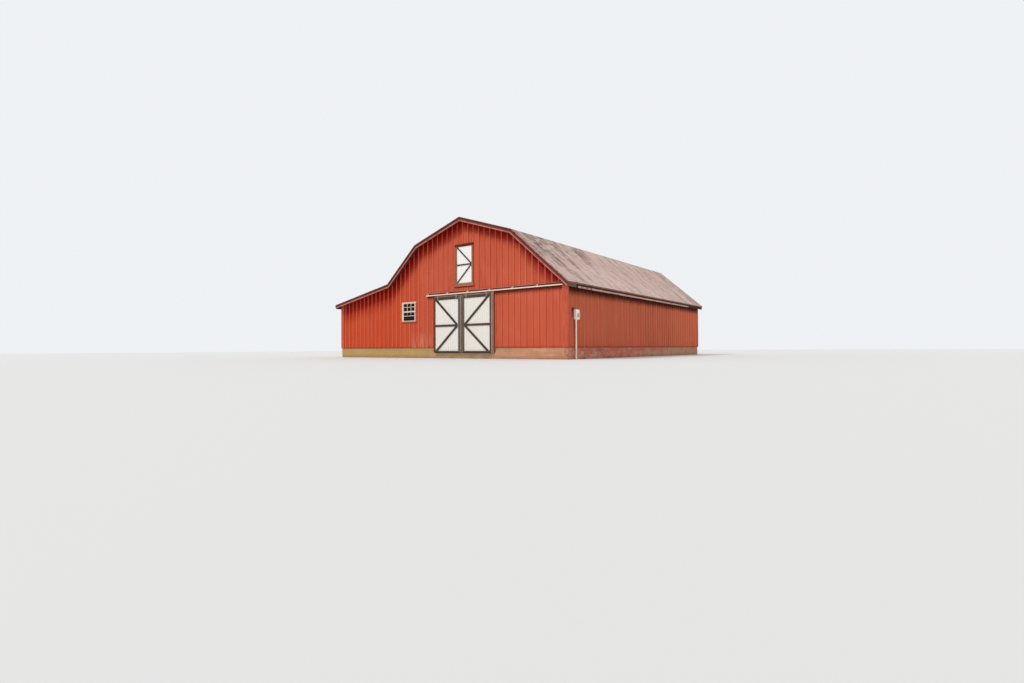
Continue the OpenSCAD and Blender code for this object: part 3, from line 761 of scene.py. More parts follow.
def metalPaint(name, main, rust, rough=0.55, metallic=0.0):
    f = Finish(name, rough, metallic)
    cloud = f.noise(2.0, 5)
    spots = f.fade(f.noise(1.0, 8, (3, 9, 9), roughness=0.7), 0.58, 0.68)
    base = f.shade(colour(main), f.fade(cloud, 0.45, 0.75) * 0.14)
    base = f.mix(base, colour("rust"), spots * rust)
    f.set("Roughness", rough + spots * 0.3)
    f.relief(spots + cloud * 0.3, 0.0015, 0.5)
    return f.done(base)


def trackPaint(name):
    # pale paint on the rail's face with rust, and dirt with a painted shade along its top
    f = Finish(name, 0.6)
    f.set("Specular IOR Level", 0.3)
    spots = f.fade(f.noise(1.0, 8, (3, 9, 30), roughness=0.7), 0.56, 0.70)
    base = f.mix(colour("trackCream"), colour("rust"), spots * 0.25)
    topShadeAndDirt = f.fade(f.z + f.noise(4, 5) * 0.006, trackTop - 0.018, trackTop - 0.011)
    base = f.mix(base, colour("eaveShade"), topShadeAndDirt * 0.9)
    f.relief(spots, 0.001, 0.5)
    return f.done(base)


def shinglePaint(name, zTop, courseRise):
    # mineral shingles: a tone for each tab, with long weather streaks down the slope
    f = Finish(name, 0.92)
    course = ((zTop - f.z) / courseRise).floor()
    tab = ((f.y + roof["tab"] * 40) / roof["tab"] + course * 0.5).floor()
    chance = f.lot(course, tab)
    streaks = f.noise(1.0, 6, (0.5, 2.2, 0.5), roughness=0.66, warp=0.4)
    fine = f.noise(1.0, 5, (1.2, 9, 1.2), roughness=0.6)
    cloud = f.noise(0.35, 3)
    near = f.fade(f.y, -1.0, -7.5) * f.fade(f.z, 3.4, 5.2)
    dark = f.fade(streaks + fine * 0.55 + chance * 0.10 + near * 0.18, 0.78, 1.04)
    base = f.mix(colour("shingle"), colour("shingleDark"), dark)
    base = f.shade(base, dark * near * 0.6, (0.7, 0.62, 0.58))
    base = f.mix(base, colour("shinglePale"), f.fade(chance * 0.35 + cloud + fine * 0.3, 0.78, 1.12) * 0.8)
    # moss and leaf dirt in a band before the back end
    edge = f.y + (f.noise(1.4, 6, roughness=0.7) - 0.5) * 0.9
    moss = f.fade(edge, 6.6, 7.3) * f.fade(edge, 8.15, 7.75)
    grown = f.fade(f.noise(2.2, 7, roughness=0.7), 0.38, 0.62)
    base = f.mix(base, colour("moss"), moss * grown * 0.6)
    granules = f.noise(420, 2)
    base = f.shade(base, f.fade(granules, 0.42, 0.68) * 0.22)
    lichen = f.fade(f.noise(3.2, 7, roughness=0.7), 0.60, 0.68)
    base = f.mix(base, colour("moss"), lichen * 0.25)
    f.relief(granules, 0.0012, 0.8)
    return f.done(base)


def concretePaint(name):
    # cast concrete with old red paint on its outer faces, worn pale in places
    f = Finish(name, 0.9)
    f.set("Specular IOR Level", 0.2)
    cloud = f.noise(1.3, 6, roughness=0.65)
    patch = f.noise(2.4, 6, (1, 1, 1.8), roughness=0.65)
    blots = f.noise(1.7, 7, (1, 1, 2.4), roughness=0.68)
    base = f.mix(colour("concrete"), colour("concretePale"), f.fade(cloud, 0.44, 0.66) * 0.7)
    sandy = f.fade(f.x, 1.0, -3.6) * (f.fade(f.y, -7.0, -8.0) * 0.7 + 0.3)
    base = f.mix(base, colour("concreteSand"), sandy * (f.fade(blots, 0.38, 0.60) * 0.4 + 0.5))
    corner = f.fade(f.x, 1.0, 5.2) * f.fade(f.y, 7.0, -6.0)
    base = f.mix(base, colour("concreteMauve"), f.fade(patch, 0.46, 0.60) * f.fade(f.x, -6.0, 1.0) * 0.3)
    painted = f.fade(cloud + corner * 0.26 + f.z * 0.16, 0.52, 0.74)
    rosy = f.mix(colour("concreteRose"), colour("concreteRosy"), f.fade(f.y, -8.1, -7.6))
    base = f.mix(base, rosy, painted * (1 - sandy * 0.95) * 0.8)
    base = f.mix(base, colour("concretePink"), f.fade(blots - f.z * 0.16, 0.43, 0.60) * corner * 0.5)
    purple = f.fade(patch, 0.53, 0.62) * corner * f.fade(f.x, 4.5, 5.4)
    base = f.mix(base, colour("concretePurple"), purple * 0.5)
    old = f.fade(f.y, 1.0, 7.3) * f.fade(cloud, 0.40, 0.60)
    base = f.mix(base, colour("concreteMauve"), old * 0.5)
    damp = f.fade(f.z + f.noise(5, 5) * 0.16, 0.28, 0.06)
    base = f.shade(base, damp * 0.3)
    # painted shadow along the top, under the foot of the siding
    base = f.shade(base, f.fade(f.z + f.noise(6, 4) * 0.02, 0.475, 0.50) * 0.7, (0.2, 0.12, 0.1))
    f.relief(f.noise(14, 8, roughness=0.7) + patch * 0.6, 0.006, 0.7)
    return f.done(base)


def slabFinish(name):
    f = Finish(name, 0.85)
    cloud = f.noise(0.8, 6, roughness=0.6)
    dust = f.noise(9, 7, roughness=0.7)
    base = f.mix(colour("floorGrey"), colour("concretePale"), f.fade(cloud, 0.42, 0.66) * 0.5)
    base = f.shade(base, f.fade(dust, 0.50, 0.72) * 0.3)
    f.relief(dust, 0.002, 0.5)
    return f.done(base)


def rawLumber(name, grain):
    # sawn boards, dark red where they come out under the roof edges, partly red stain and partly painted
    # shade
    f = Finish(name, 0.85)
    streaks = f.noise(1.0, 6, grain, roughness=0.65, warp=0.5)
    base = f.mix(colour("lumber"), colour("lumberDark"), f.fade(streaks, 0.40, 0.68))
    knots = f.fade(f.noise(1.0, 3, [part * 0.35 + 1 for part in grain]), 0.70, 0.76)
    base = f.shade(base, knots * 0.5)
    base = f.mix(base, colour("redShade"), outdoors(f) * 0.85)
    f.relief(streaks, 0.002, 0.6)
    return f.done(base)


def paneFinish(name, tint, alpha, roughness, specular):
    # clear or smoked glass with dust that gathers in clouds
    f = Finish(name, roughness)
    dust = f.fade(f.noise(3.0, 6, roughness=0.65), 0.45, 0.75)
    f.set("Specular IOR Level", specular)
    f.set("Alpha", alpha)
    f.set("Roughness", roughness + dust * 0.2)
    return f.done(f.mix(tone(*tint), colour("brownDark"), dust * 0.35))


def frontBattenShading(f):
    # how strong the painted batten shading is: strong on the lean-to and under the right rake, faint to the
    # right of the doorway
    return 0.16 + f.fade(f.x, 0.5, -4.5) * 0.64 + f.fade(f.x, 1.5, 4.5) * f.fade(f.z, 2.9, 3.3) * 0.55


def sideBattenShading(f):
    return f.fade(f.y, 9.0, -9.0) * 0.4 + 0.3


frontPaintedShadow = {
    "full": 0.22,  # metres under the roof's top where the painted shadow is full
    "none": 0.66,  # and where it ends, both lower on boards with a strong contrast
    "lower": 0.18,
    "longer": 0.90,
    "uneven": 0.18,
    "battenSpared": 0.72,  # how much of the painted shadow the battens are spared
    "highlight": 0.1,
    "share": 0.98,
    "tint": (0.48, 0.02, 0.0),
}

sidePaintedShadow = {
    "full": 0.43,
    "none": 0.74,
    "lower": 0.0,
    "longer": 0.06,
    "uneven": 0.04,
    "battenSpared": 0.15,
    "highlight": 0.0,
    "share": 0.97,
    "tint": (0.10, 0.04, 0.03),
}

# painted shadows under the track, the loft and the window, and beside the meter: start, end, foot, head and
# share
frontShadowMarks = (
    (-2.37, -1.93, 2.78, 2.975, 0.9),
    (1.80, 5.28, 2.70, 2.975, 0.92),
    (-0.58, 0.65, 3.20, 3.304, 0.7),
    (-4.17, -3.11, 1.70, 1.775, 0.6),
)
sideShadowMarks = ((-7.82, -7.62, 1.45, 2.06, 0.95), (-7.70, -7.58, 0.55, 1.60, 0.35))

# grain of upright boards, of upright trim and of level boards, fine across and long along them
grainUpright, grainTrim, grainLevel = (60, 60, 2.6), (50, 50, 2.6), (2.6, 60, 60)


def bracePaints(label, main, angle, wear=0.3):
    # a finish for a brace that leans either way, with the grain along it
    return [
        boardPaint(label + way, main, "brownDark", "brownGrey", grainLevel, (0, turn, 0), wear)
        for way, turn in (("Rising", angle), ("Falling", -angle))
    ]


redFront = sidingPaint(
    "redSidingFront", "x", siding["firstX"], "red", frontBattenShading, frontPaintedShadow, (-2.75, 0.95), frontShadowMarks
)
redSide = sidingPaint(
    "redSidingSide", "y", -siding["lastY"], "redSide", sideBattenShading, sidePaintedShadow, shadowMarks=sideShadowMarks
)
redTrim = boardPaint("redTrim", "red", "redDeep", "redFaded", (50, 50, 2.4))
redLedge = boardPaint("redLedge", "ledgeRose", "redBrown", "palePink", (2.4, 50, 50))
# the track board's dark red is a painted shadow line over the track
trackBoardShadow = boardPaint("trackBoardShadowPaint", "redShade", "mauveDark", "redDeep", (2.4, 50, 50))
mauveTrim = boardPaint("mauveTrim", "mauve", "mauveDark", "palePink", (9, 30, 30), wear=0.25)
darkEdge = boardPaint("darkRoofEdge", "mauveDark", "brownDark", "redBrown", (9, 9, 9))
pinkStrip = boardPaint("palePinkStrip", "palePink", "mauve", "bareWood", (3, 3, 9))
brownUpright = boardPaint("brownUpright", "brown", "brownDark", "brownGrey", grainUpright, wear=0.4)
leftMeeting = boardPaint("leftMeetingStile", "brownMid", "brown", "brownGrey", grainUpright)
brownLevel = boardPaint("brownLevel", "brown", "brownDark", "brownGrey", grainLevel)
brownRising, brownFalling = bracePaints("brown", "brownDeep", 38)
redBrownTrim = boardPaint("redBrownTrim", "redBrown", "brownDark", "mauve", grainTrim, wear=0.4)
olderUpright = boardPaint("olderUpright", "brownMid", "brown", "brownGrey", grainUpright, wear=0.4)
coverFinish = boardPaint("coverStrip", "stripGrey", "brownGrey", "paleGrey", grainUpright)
loftOuter = boardPaint("loftOuterTrim", "redTan", "redBrown", "palePink", grainTrim)
# the fascia's dark colour is a painted shadow under the roof's edge
fasciaShade = boardPaint("fasciaShade", "eaveShade", "brownDark", "redBrown", (30, 2, 30), wear=0.15)
darkRising, darkFalling = bracePaints("dark", "brown", 41, 0.2)
# the casing edge's dark red is a painted shadow beside the door's right edge
casingEdgeShadow = boardPaint("casingEdgeShadow", "redShade", "mauveDark", "redDeep", grainTrim, wear=0.4)
# dark red for the ledge fillers and the loft head, a painted shadow under the ledge and over the loft door
shadowRedLevel = boardPaint("shadowRedLevel", "redShade", "brownDark", "redBrown", (2.6, 50, 50), wear=0.5)
tanUpright = boardPaint("tanUpright", "tanGrey", "redBrown", "paleGrey", grainTrim)
rosePale = boardPaint("rosePaleTrim", "rosePale", "roseBoard", "cream", grainTrim)
roseUpright = boardPaint("roseUpright", "roseBoard", "redBrown", "palePink", grainTrim)
eaveStrip = boardPaint("eaveStrip", "eavePale", "mauve", "palePink", (30, 1.6, 30))
brownLengthwise = boardPaint("brownLengthwise", "brownWarm", "brownDark", "brownGrey", (30, 2, 30), wear=0.4)
greyLevel = boardPaint("greyLevel", "brownGrey", "brown", "paleGrey", (2.6, 50, 50), wear=0.5)
doorWhite = whitePaint("doorWhite", "white")
loftWhite = whitePaint("loftWhite", "brightWhite", 0.3)
creamWood = boardPaint("creamWood", "cream", "palePink", "white", (40, 40, 6))
wornCream = boardPaint("wornCream", "palePink", "mauve", "cream", (40, 40, 6), wear=0.6)
creamPaint = metalPaint("creamPaint", "cream", 0.25)
meterGrey = metalPaint("meterGrey", "creamPale", 0.08, 0.45)
riserPaint = metalPaint("riserPaint", "creamWarm", 0.12, 0.5)
steelPaint = metalPaint("galvanisedSteel", "brownGrey", 0.5, 0.5, metallic=0.4)
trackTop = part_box("door_track")[1].z
trackFinish = trackPaint("trackPaint")
foundationFinish = concretePaint("foundationConcrete")
floorFinish = slabFinish("floorConcrete")
darkPane = paneFinish("windowPane", (7, 6, 5), 0.95, 0.08, 0.14)
clearPane = paneFinish("meterDome", (214, 222, 222), 0.35, 0.04, 0.5)
lumberUpright = rawLumber("lumberUpright", (30, 30, 1.6))
lumberAcross = rawLumber("lumberAcross", (1.6, 30, 30))
lumberLengthwise = rawLumber("lumberLengthwise", (30, 1.6, 30))

keptNodes = {
    redFront: ("front_wall_lean", "front_wall_left", "front_wall_right", "front_gable", "back_wall"),
    redSide: ("right_wall", "left_wall"),
    redTrim: ("corner_boards",),
    redLedge: ("loft_ledge",),
    lumberUpright: ("posts",),
    lumberAcross: (
        "loft_joists", "lower_rafters", "upper_rafters", "lean_to_rafters", "collar_ties", "girts",
    ),
    lumberLengthwise: ("loft_beams", "ridge_board"),
    foundationFinish: ("foundation",),
    floorFinish: ("floor_slab",),
    mauveTrim: ("rake_boards",),
    fasciaShade: ("eave_fascias",),
    brownUpright: ("door_lining",),
    trackBoardShadow: ("track_board",),
    trackFinish: ("door_track",),
    creamPaint: ("track_brackets",),
    steelPaint: ("left_door_hardware", "right_door_hardware"),
    darkPane: ("window_glass",),
}
for material, nodes in keptNodes.items():
    for node in nodes:
        dress(node, material)
print("barn: finishes")

doorwayHole = (casing["left"][0], casing["rightEdge"][1], 0.0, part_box("track_board")[0].z)
frontHoles = [hole(node) for node in ("window_frame", "track_board", "loft_door_frame", "loft_ledge")]
for name, side, blocked in (("frontBattens", -1, [doorwayHole, *frontHoles]), ("backBattens", 1, [])):
    fitOut(endBattens(name, side, blocked), "building", "siding_red", redFront)
meterHole = hole("meter_box", 0.01, 1)
for name, side, wall, blocked in (
    ("rightBattens", 1, "right_wall", [meterHole]),
    ("leftBattens", -1, "left_wall", []),
):
    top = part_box(wall)[1].z - siding["topGap"]
    fitOut(sideBattens(name, side, top, blocked), "building", "siding_red", redSide)
print("barn: battens")


# Roof

roof = {
    "board": 0.184,
    "boardGap": 0.003,
    "boardIn": 0.012,
    "deckTop": -0.022,
    "deckLow": 0.0005,
    "rakeIn": 0.020,
    "ridgeIn": 0.004,
    "tab": 0.305,
    "keyway": 0.008,
    "exposure": 0.127,
    "lap": 0.024,
    "butt": -0.006,
    "head": -0.0155,
    "shingleIn": 0.002,
    "uneven": 0.0016,
}

ridge = {
    "cap": 0.150,
    "lap": 1.3,  # length of a cap in steps
    "low": -0.012,
    "top": -0.001,
    "drop": 0.006,
    "endIn": 0.003,
    "uneven": 0.0012,
}

flashing = {
    "width": 0.085,
    "low": -0.007,
    "top": -0.0015,
    "endIn": 0.001,
    "eaveIn": 0.002,
    "edge": 0.0012,
}


def slopeRun(name, start, end):
    # length down a slope between two distances from the middle
    return (end - start) / math.cos(math.radians(barn[name]))


breakX, joinX = barn["breakX"], barn["leanJoinX"]
slopes = {
    "upperRight": (1, "upperAngle", (0, ridgeZ), slopeRun("upperAngle", 0, breakX)),
    "upperLeft": (-1, "upperAngle", (0, ridgeZ), slopeRun("upperAngle", 0, breakX)),
    "lowerRight": (1, "lowerAngle", (breakX, breakZ), slopeRun("lowerAngle", breakX, eaveX)),
    "lowerLeft": (-1, "lowerAngle", (breakX, breakZ), slopeRun("lowerAngle", breakX, joinX)),
    "leanTo": (-1, "leanAngle", (joinX, leanJoinZ), slopeRun("leanAngle", joinX, leanEaveX)),
}


def slopeFrame(side, angle, start):
    # X runs down the slope, Y along the eaves and Z out of the roof
    lean = math.radians(angle)
    down = Vector((side * math.cos(lean), 0, -math.sin(lean)))
    level = Vector((0, side, 0))
    axes = Matrix((down, level, down.cross(level))).transposed().to_4x4()
    return Matrix.Translation((side * start[0], 0, start[1])) @ axes


def roofSlope(name):
    side, angle, start, length = slopes[name]
    place = slopeFrame(side, barn[angle], start)
    rake = roofY - roof["rakeIn"]
    top, low = roof["deckTop"], -barn["roofDepth"] + roof["deckLow"]
    count = int(length / roof["board"])
    first = roof["boardIn"]
    width = (length - 2 * first) / count
    plank = between((first, -rake, low), (first + width - roof["boardGap"], rake, top))
    boards = repeated(joinery(name + "Boards", [plank]), count, (width, 0, 0))
    placed(boards, place)
    # one tab, thicker at its butt, then rows and courses counted up from the eave
    reach = roof["exposure"] + roof["lap"]
    edge = roofY - roof["shingleIn"]
    width = roof["tab"] - roof["keyway"]
    first = between((length - reach, -edge, top), (length, -edge + width, roof["butt"]))
    tab = joinery(name + "Shingles", [first], 0)
    headDrop = (0, 0, roof["head"] - roof["butt"])
    movePoints(tab, lambda co: co.x < length - reach / 2 and co.z > top + 0.001, headDrop)
    across = int(2 * edge / roof["tab"]) + 2
    repeated(tab, across, (0, roof["tab"], 0))
    twin = twinOf(tab)
    twin.location = (-roof["exposure"], -roof["tab"] / 2, 0)
    settle(twin)
    tab = joined(name + "Shingles", [tab, twin])
    courses = math.ceil(length / roof["exposure"])
    repeated(tab, math.ceil(courses / 2), (-2 * roof["exposure"], 0, 0))
    roughened(tab, roof["uneven"], 3)
    ends = [((0, edge, 0), (0, 1, 0)), ((0, -edge, 0), (0, -1, 0)), ((roof["ridgeIn"], 0, 0), (-1, 0, 0))]
    cutAway(tab, ends)
    return boards, placed(tab, place)


def ridgeCaps(name):
    # bent tabs over the ridge, each lapping the one behind it
    side, angle, start, length = slopes[name]
    edge = roofY - ridge["endIn"]
    count = round(2 * edge / roof["exposure"])
    step = 2 * edge / count
    front = -side * edge
    lap = side * step * ridge["lap"]
    first = slab((0, ridge["cap"]), (front, front + lap), (ridge["low"], ridge["top"]))
    cap = joinery(name + "Caps", [first], 0)
    movePoints(cap, lambda co: co.z > -ridge["drop"] and abs(co.y - front) > step, (0, 0, -ridge["drop"]))
    repeated(cap, count, (0, side * step, 0))
    roughened(cap, ridge["uneven"], 8)
    cutAway(cap, [((0, -front, 0), (0, side, 0)), ((0, 0, -0.0004), (0, 0, 1))])
    return placed(cap, slopeFrame(side, barn[angle], start))


def rakeFlashing(name):
    # flat metal over the ends of the shingle courses
    side, angle, start, length = slopes[name]
    edge = roofY - flashing["endIn"]
    xs, zs = (roof["ridgeIn"], length - flashing["eaveIn"]), (flashing["low"], flashing["top"])
    strips = [slab(xs, (end * edge, end * (edge - flashing["width"])), zs) for end in (1, -1)]
    strips = joinery(name + "Flashing", strips, flashing["edge"])
    return placed(strips, slopeFrame(side, barn[angle], start))


def slopeFinish(name, label):
    side, angle, start, length = slopes[name]
    rise = math.sin(math.radians(barn[angle]))
    return shinglePaint(label, start[1] - (length % roof["exposure"]) * rise, roof["exposure"] * rise)


upperFinish = slopeFinish("upperRight", "shinglesUpper")
lowerFinish = slopeFinish("lowerRight", "shinglesLower")
leanFinish = slopeFinish("leanTo", "shinglesLeanTo")
parts = {name: roofSlope(name) for name in slopes}
deck = joined("roofBoards", [boards for boards, tabs in parts.values()])
fitOut(deck, "building", "lumber", lumberLengthwise)
for label, names, finish, node in (
    ("upperShingles", ("upperRight", "upperLeft"), upperFinish, "upper_roof"),
    ("lowerShingles", ("lowerRight", "lowerLeft"), lowerFinish, "lower_roof"),
    ("leanToShingles", ("leanTo",), leanFinish, "lean_to_roof"),
):
    fitOut(joined(label, [parts[name][1] for name in names]), "building", "shingles", finish, node)
caps = joined("ridgeCaps", [ridgeCaps(name) for name in ("upperRight", "upperLeft")])
fitOut(caps, "building", "shingles", upperFinish)
strips = joined("rakeFlashing", [rakeFlashing(name) for name in slopes])
fitOut(strips, "building", "trim_red", pinkStrip)
print("barn: roof")


# Roof edges

rake = {
    "drip": (0.014, 0.036),
    "edgeBoard": (0.036, 0.084),
    "lowerStrip": (0.143, 0.189),
    "dripDepth": 0.017,
    "boardDepth": 0.009,
    "past": 0.1,  # length at each end that the mitres cut off
}

eave = {
    "stripHeight": 0.070,
    "stripDepth": 0.008,
    "whole": (-6.45, 5.80),
    "shortPieces": ((-7.58, -7.33), (-7.29, -6.88), (-6.81, -6.53)),
    "weathered": (-8.40, -7.74),
    "weatheredDepth": 0.005,
    "drip": 0.026,
    "dripIn": 0.002,
    "fascia": 0.170,
    "uneven": 0.0022,
}

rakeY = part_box("rake_boards")[1].y


def rakeBand(name, depths, thickness, ends, material):
    # boards along both ends of the roof, between two depths under its top, mitred at each bend
    middle = sum(depths) / 2
    parts = []
    for side, last in ((1, ends[0]), (-1, ends[1])):
        bends = (breakAt(middle),) if side > 0 else (breakAt(middle), joinAt(middle))
        corners = [Vector((side * x, 0, roofLine(side * x, middle))) for x in (0, *bends, last)]
        runs = [(after - before).normalized() for before, after in zip(corners, corners[1:])]
        level = Vector((side, 0, 0))
        mitres = [level, *((a + b).normalized() for a, b in zip(runs, runs[1:])), level]
        for step in range(len(runs)):
            start, end = corners[step], corners[step + 1]
            places = []
            for way in (-1, 1):
                out = Vector((0, way * rakeY, 0))
                size = (depths[1] - depths[0], thickness)
                places.append(along(start + out, end + out, *size, (0, way, 0), rake["past"]))
            parts.append(joinery(name, places, 0, ((start, -mitres[step]), (end, mitres[step + 1]))))
    band = eased(joined(name, parts), stripEdge)
    fitOut(band, "building", "trim_red", material)


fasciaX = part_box("eave_fascias")[1].x
leanFasciaX = -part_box("eave_fascias")[0].x
edges = (eaveX - 0.001, leanEaveX - 0.001)
boards = (fasciaX, leanFasciaX)
rakeBand("rakeDripEdge", rake["drip"], rake["dripDepth"], edges, mauveTrim)
rakeBand("rakeEdgeBoards", rake["edgeBoard"], rake["boardDepth"], edges, darkEdge)
rakeBand("rakeLowerStrips", rake["lowerStrip"], rake["boardDepth"], boards, pinkStrip)

fasciaTop = lowerLine(fasciaX, barn["roofDepth"])
fasciaLow = fasciaTop - eave["fascia"]
strip = (fasciaLow, fasciaLow + eave["stripHeight"])
proud = (fasciaX, fasciaX + eave["stripDepth"])
spans = (eave["whole"], *eave["shortPieces"])
strips = joinery("eaveStrips", [slab(proud, span, strip) for span in spans], 0)
modified(strips, "SUBSURF", levels=3, subdivision_type="SIMPLE")
roughened(strips, eave["uneven"], 5)
fitOut(strips, "building", "trim_red", eaveStrip)
proud = (fasciaX, fasciaX + eave["weatheredDepth"])
weathered = slab(proud, eave["weathered"], (fasciaLow + 0.004, fasciaTop - 0.03))
fitOut(joinery("eaveWeathered", [weathered], stripEdge), "building", "trim_red", brownLengthwise)
undersides = (
    (fasciaX + 0.001, eaveX - 0.0005, lowerLine(eaveX, barn["roofDepth"])),
    (-leanFasciaX - 0.001, 0.0005 - leanEaveX, leanLine(leanEaveX, barn["roofDepth"])),
)
drips = [slab((x0, x1), (-rakeY, rakeY), (z + eave["dripIn"], z + eave["drip"])) for x0, x1, z in undersides]
fitOut(joinery("eaveDripEdges", drips, stripEdge), "building", "trim_red", pinkStrip)
print("barn: roof edges")


# Sliding doors

door = {
    "boards": 13,
    "joint": 0.0015,
    "seam": 0.001,
    "unevenFoot": 0.004,
    "meeting": {"left": 0.188, "right": 0.142},
    "topRail": 0.170,
    "topLight": 0.045,
    "midRail": 0.100,
    "midHeight": 1.530,
    "bottomRail": 0.075,
    "brace": 0.100,
    "bracePast": 0.15,
    "short": {"left": 0.042, "right": 0.012},
    "braceIn": {"left": 0.070, "right": 0.108},
    "coverStrip": 0.032,
    "coverProud": 0.006,
    "coverIn": 0.010,
    "hangerIn": 0.290,
    "strap": 0.006,
    "bolt": 0.011,
    "boltsUp": (0.035, 0.105),
}


def boltHeads(name, places, radius):
    # six-sided heads on round washers; each place turns Z out of the surface
    cylinder = bpy.ops.mesh.primitive_cylinder_add
    head = fresh(cylinder, vertices=6, radius=radius, depth=radius * 0.9)
    head.location = (0, 0, radius * 0.6)
    settle(head)
    eased(head, radius * 0.16)
    washer = eased(fresh(cylinder, vertices=16, radius=radius * 1.5, depth=radius * 0.3), radius * 0.1)
    return copies(joined(name, [head, washer]), name, places)


def facing(point, outward):
    # a place whose Z looks outward
    return Matrix.Translation(point) @ Vector(outward).to_track_quat("Z", "Y").to_matrix().to_4x4()


def doorLeaf(label, inward, outerBoards, meetingFinish, lowFinish, highFinish):
    # inward is 1 on the left leaf and -1 on the right one; an outer board is start, end and finish
    body = label + "_door"
    low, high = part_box(label + "_door_panel")
    face, back = low.y, high.y
    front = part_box(label + "_door_frame")[0].y
    outer, width = (low.x if inward > 0 else high.x), high.x - low.x

    def at(distance):
        return outer + inward * distance

    def board(start, end, foot, head, past=0.0):
        return slab((at(start), at(end)), (front - past, face), (foot, head))

    step = width / door["boards"]
    rows = []
    for count in range(door["boards"]):
        span = (at(count * step + door["joint"]), at((count + 1) * step - door["joint"]))
        rows.append(slab(span, (face, back), (low.z + random.uniform(0, door["unevenFoot"]), high.z - 0.001)))
    boards = joinery(label + "LeafBoards", rows, boardEdge)
    fitOut(boards, body, "door_white", doorWhite, label + "_door_panel")

    inner = width - door["meeting"][label]
    reach = inner - door["short"][label]
    foot, top = low.z + door["bottomRail"], high.z - door["topRail"]
    light = high.z - door["topLight"]
    under, over = (door["midHeight"] + way * door["midRail"] / 2 for way in (-1, 1))
    seam = door["seam"]
    first, last = outerBoards[-1][1] + seam, inner - seam
    pieces = [
        timber("stile", [board(near, far, low.z, high.z)], finish, boardEdge)
        for near, far, finish in (*outerBoards, (inner, width, meetingFinish))
    ]
    levels = ((low.z, foot, last), (under, over, reach), (top, light - 2 * seam, last))
    rails = [board(first, end, z0, z1) for z0, z1, end in levels]
    pieces.append(timber("rails", rails, brownLevel, boardEdge))
    pieces.append(timber("light", [board(first, last, light, high.z)], greyLevel))
    sides = [((at(first), 0, 0), (-inward, 0, 0)), ((at(reach), 0, 0), (inward, 0, 0))]
    heelX = at(outerBoards[-1][1] + door["braceIn"][label])
    braces = ((foot, foot + seam, under - seam, lowFinish), (top, over + seam, top - seam, highFinish))
    for start, bottom, ceiling, finish in braces:
        tip = (at(reach), face, door["midHeight"])
        size = (door["brace"], face - front)
        place = along((heelX, face, start), tip, *size, (0, -1, 0), door["bracePast"])
        bounds = [((0, 0, bottom), (0, 0, -1)), ((0, 0, ceiling), (0, 0, 1))]
        pieces.append(timber("brace", [place], finish, cuts=sides + bounds))
    if inward > 0:
        ends = (low.z + door["coverIn"], high.z - door["coverIn"])
        cover = board(width - door["coverStrip"], width - seam, *ends, door["coverProud"])
        pieces.append(timber("cover", [cover], coverFinish))
    fitOut(joined(label + "LeafFrame", pieces), body, "trim_brown", None, label + "_door_frame")

    strap = front - door["strap"]
    spots = []
    for distance in (door["hangerIn"], width - door["hangerIn"]):
        for up in door["boltsUp"]:
            spots.append(facing((at(distance), strap - seam, top + up), (0, -1, 0)))
    fitOut(boltHeads(label + "HangerBolts", spots, door["bolt"]), body, "hardware_steel", steelPaint)


leftOuter = ((0, 0.110, redBrownTrim),)
rightOuter = ((0, 0.030, rosePale), (0.031, 0.118, brownUpright))
doorLeaf("left", 1, leftOuter, leftMeeting, brownRising, brownFalling)
doorLeaf("right", -1, rightOuter, olderUpright, brownFalling, brownRising)
print("barn: sliding doors")


# Doorway trim and track

track = {
    "drip": 0.012,
    "dripHeights": (-0.028, 0.002),
    "brackets": 6,
    "bracketIn": 0.03,
    "bracketPitch": 1.27,
    "bolt": 0.007,
    "boltOut": 0.0065,
    "railBolt": 0.008,
    "boardBolt": 0.022,
}

boardLow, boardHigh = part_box("track_board")
casingFace = (-barn["endY"] - casing["depth"], -barn["endY"])
edgeFace = (casingFace[0] + casing["edgeBack"], casingFace[1])
casingTall = (casing["foot"], boardLow.z - casing["underBoard"])
for name, xs, ys, slot, finish in (
    ("doorwayCasingLeft", casing["left"], casingFace, "trim_red", redTrim),
    ("doorwayCasingRight", casing["right"], casingFace, "trim_brown", rosePale),
    # the edge board's dark red is a painted shadow beside the door
    ("doorwayCasingEdge", casing["rightEdge"], edgeFace, "trim_red", casingEdgeShadow),
):
    fitOut(joinery(name, [slab(xs, ys, casingTall)], boardEdge), "building", slot, finish)

dripFace = (boardLow.y - track["drip"], boardLow.y)
dripTall = [boardHigh.z + height for height in track["dripHeights"]]
trackDrip = joinery("trackDripStrip", [slab((boardLow.x, boardHigh.x), dripFace, dripTall)])
fitOut(trackDrip, "building", "trim_red", pinkStrip)
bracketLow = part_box("track_brackets")[0]
railLow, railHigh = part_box("door_track")
spots = []
for count in range(track["brackets"]):
    middle = bracketLow.x + track["bracketIn"] + count * track["bracketPitch"]
    for y, z in ((railLow.y, railHigh.z - track["railBolt"]), (boardLow.y, boardHigh.z - track["boardBolt"])):
        spots.append(facing((middle, y - track["boltOut"], z), (0, -1, 0)))
fitOut(boltHeads("bracketBolts", spots, track["bolt"]), "building", "hardware_steel", steelPaint)
print("barn: doorway and track")


# Loft door

loft = {
    "boards": 7,
    "joint": 0.0015,
    "seam": 0.001,
    "unevenFoot": 0.004,
    "brace": 0.062,
    "bracePast": 0.12,
    "innerTrim": 0.055,
    "sillPast": 0.012,
    "fillerTall": 0.032,
    "fillerDeep": 0.018,
}


def ledgeFillers():
    # short boards between the battens, which close the gap under the ledge; their dark red is a painted
    # shadow under the ledge
    low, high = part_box("loft_ledge")
    half = siding["width"] / 2 + 0.001
    face = -barn["endY"]
    row = [x for x in battenRow(siding["firstX"], siding["lastX"]) if low.x < x < high.x]
    spans = zip([low.x - half, *row], [*row, high.x + half])
    ys, zs = (face - loft["fillerDeep"], face), (low.z - loft["fillerTall"], low.z)
    fillers = [slab((start + half, end - half), ys, zs) for start, end in spans if end - start > 0.1]
    fitOut(joinery("ledgeFillers", fillers), "building", "trim_red", shadowRedLevel)


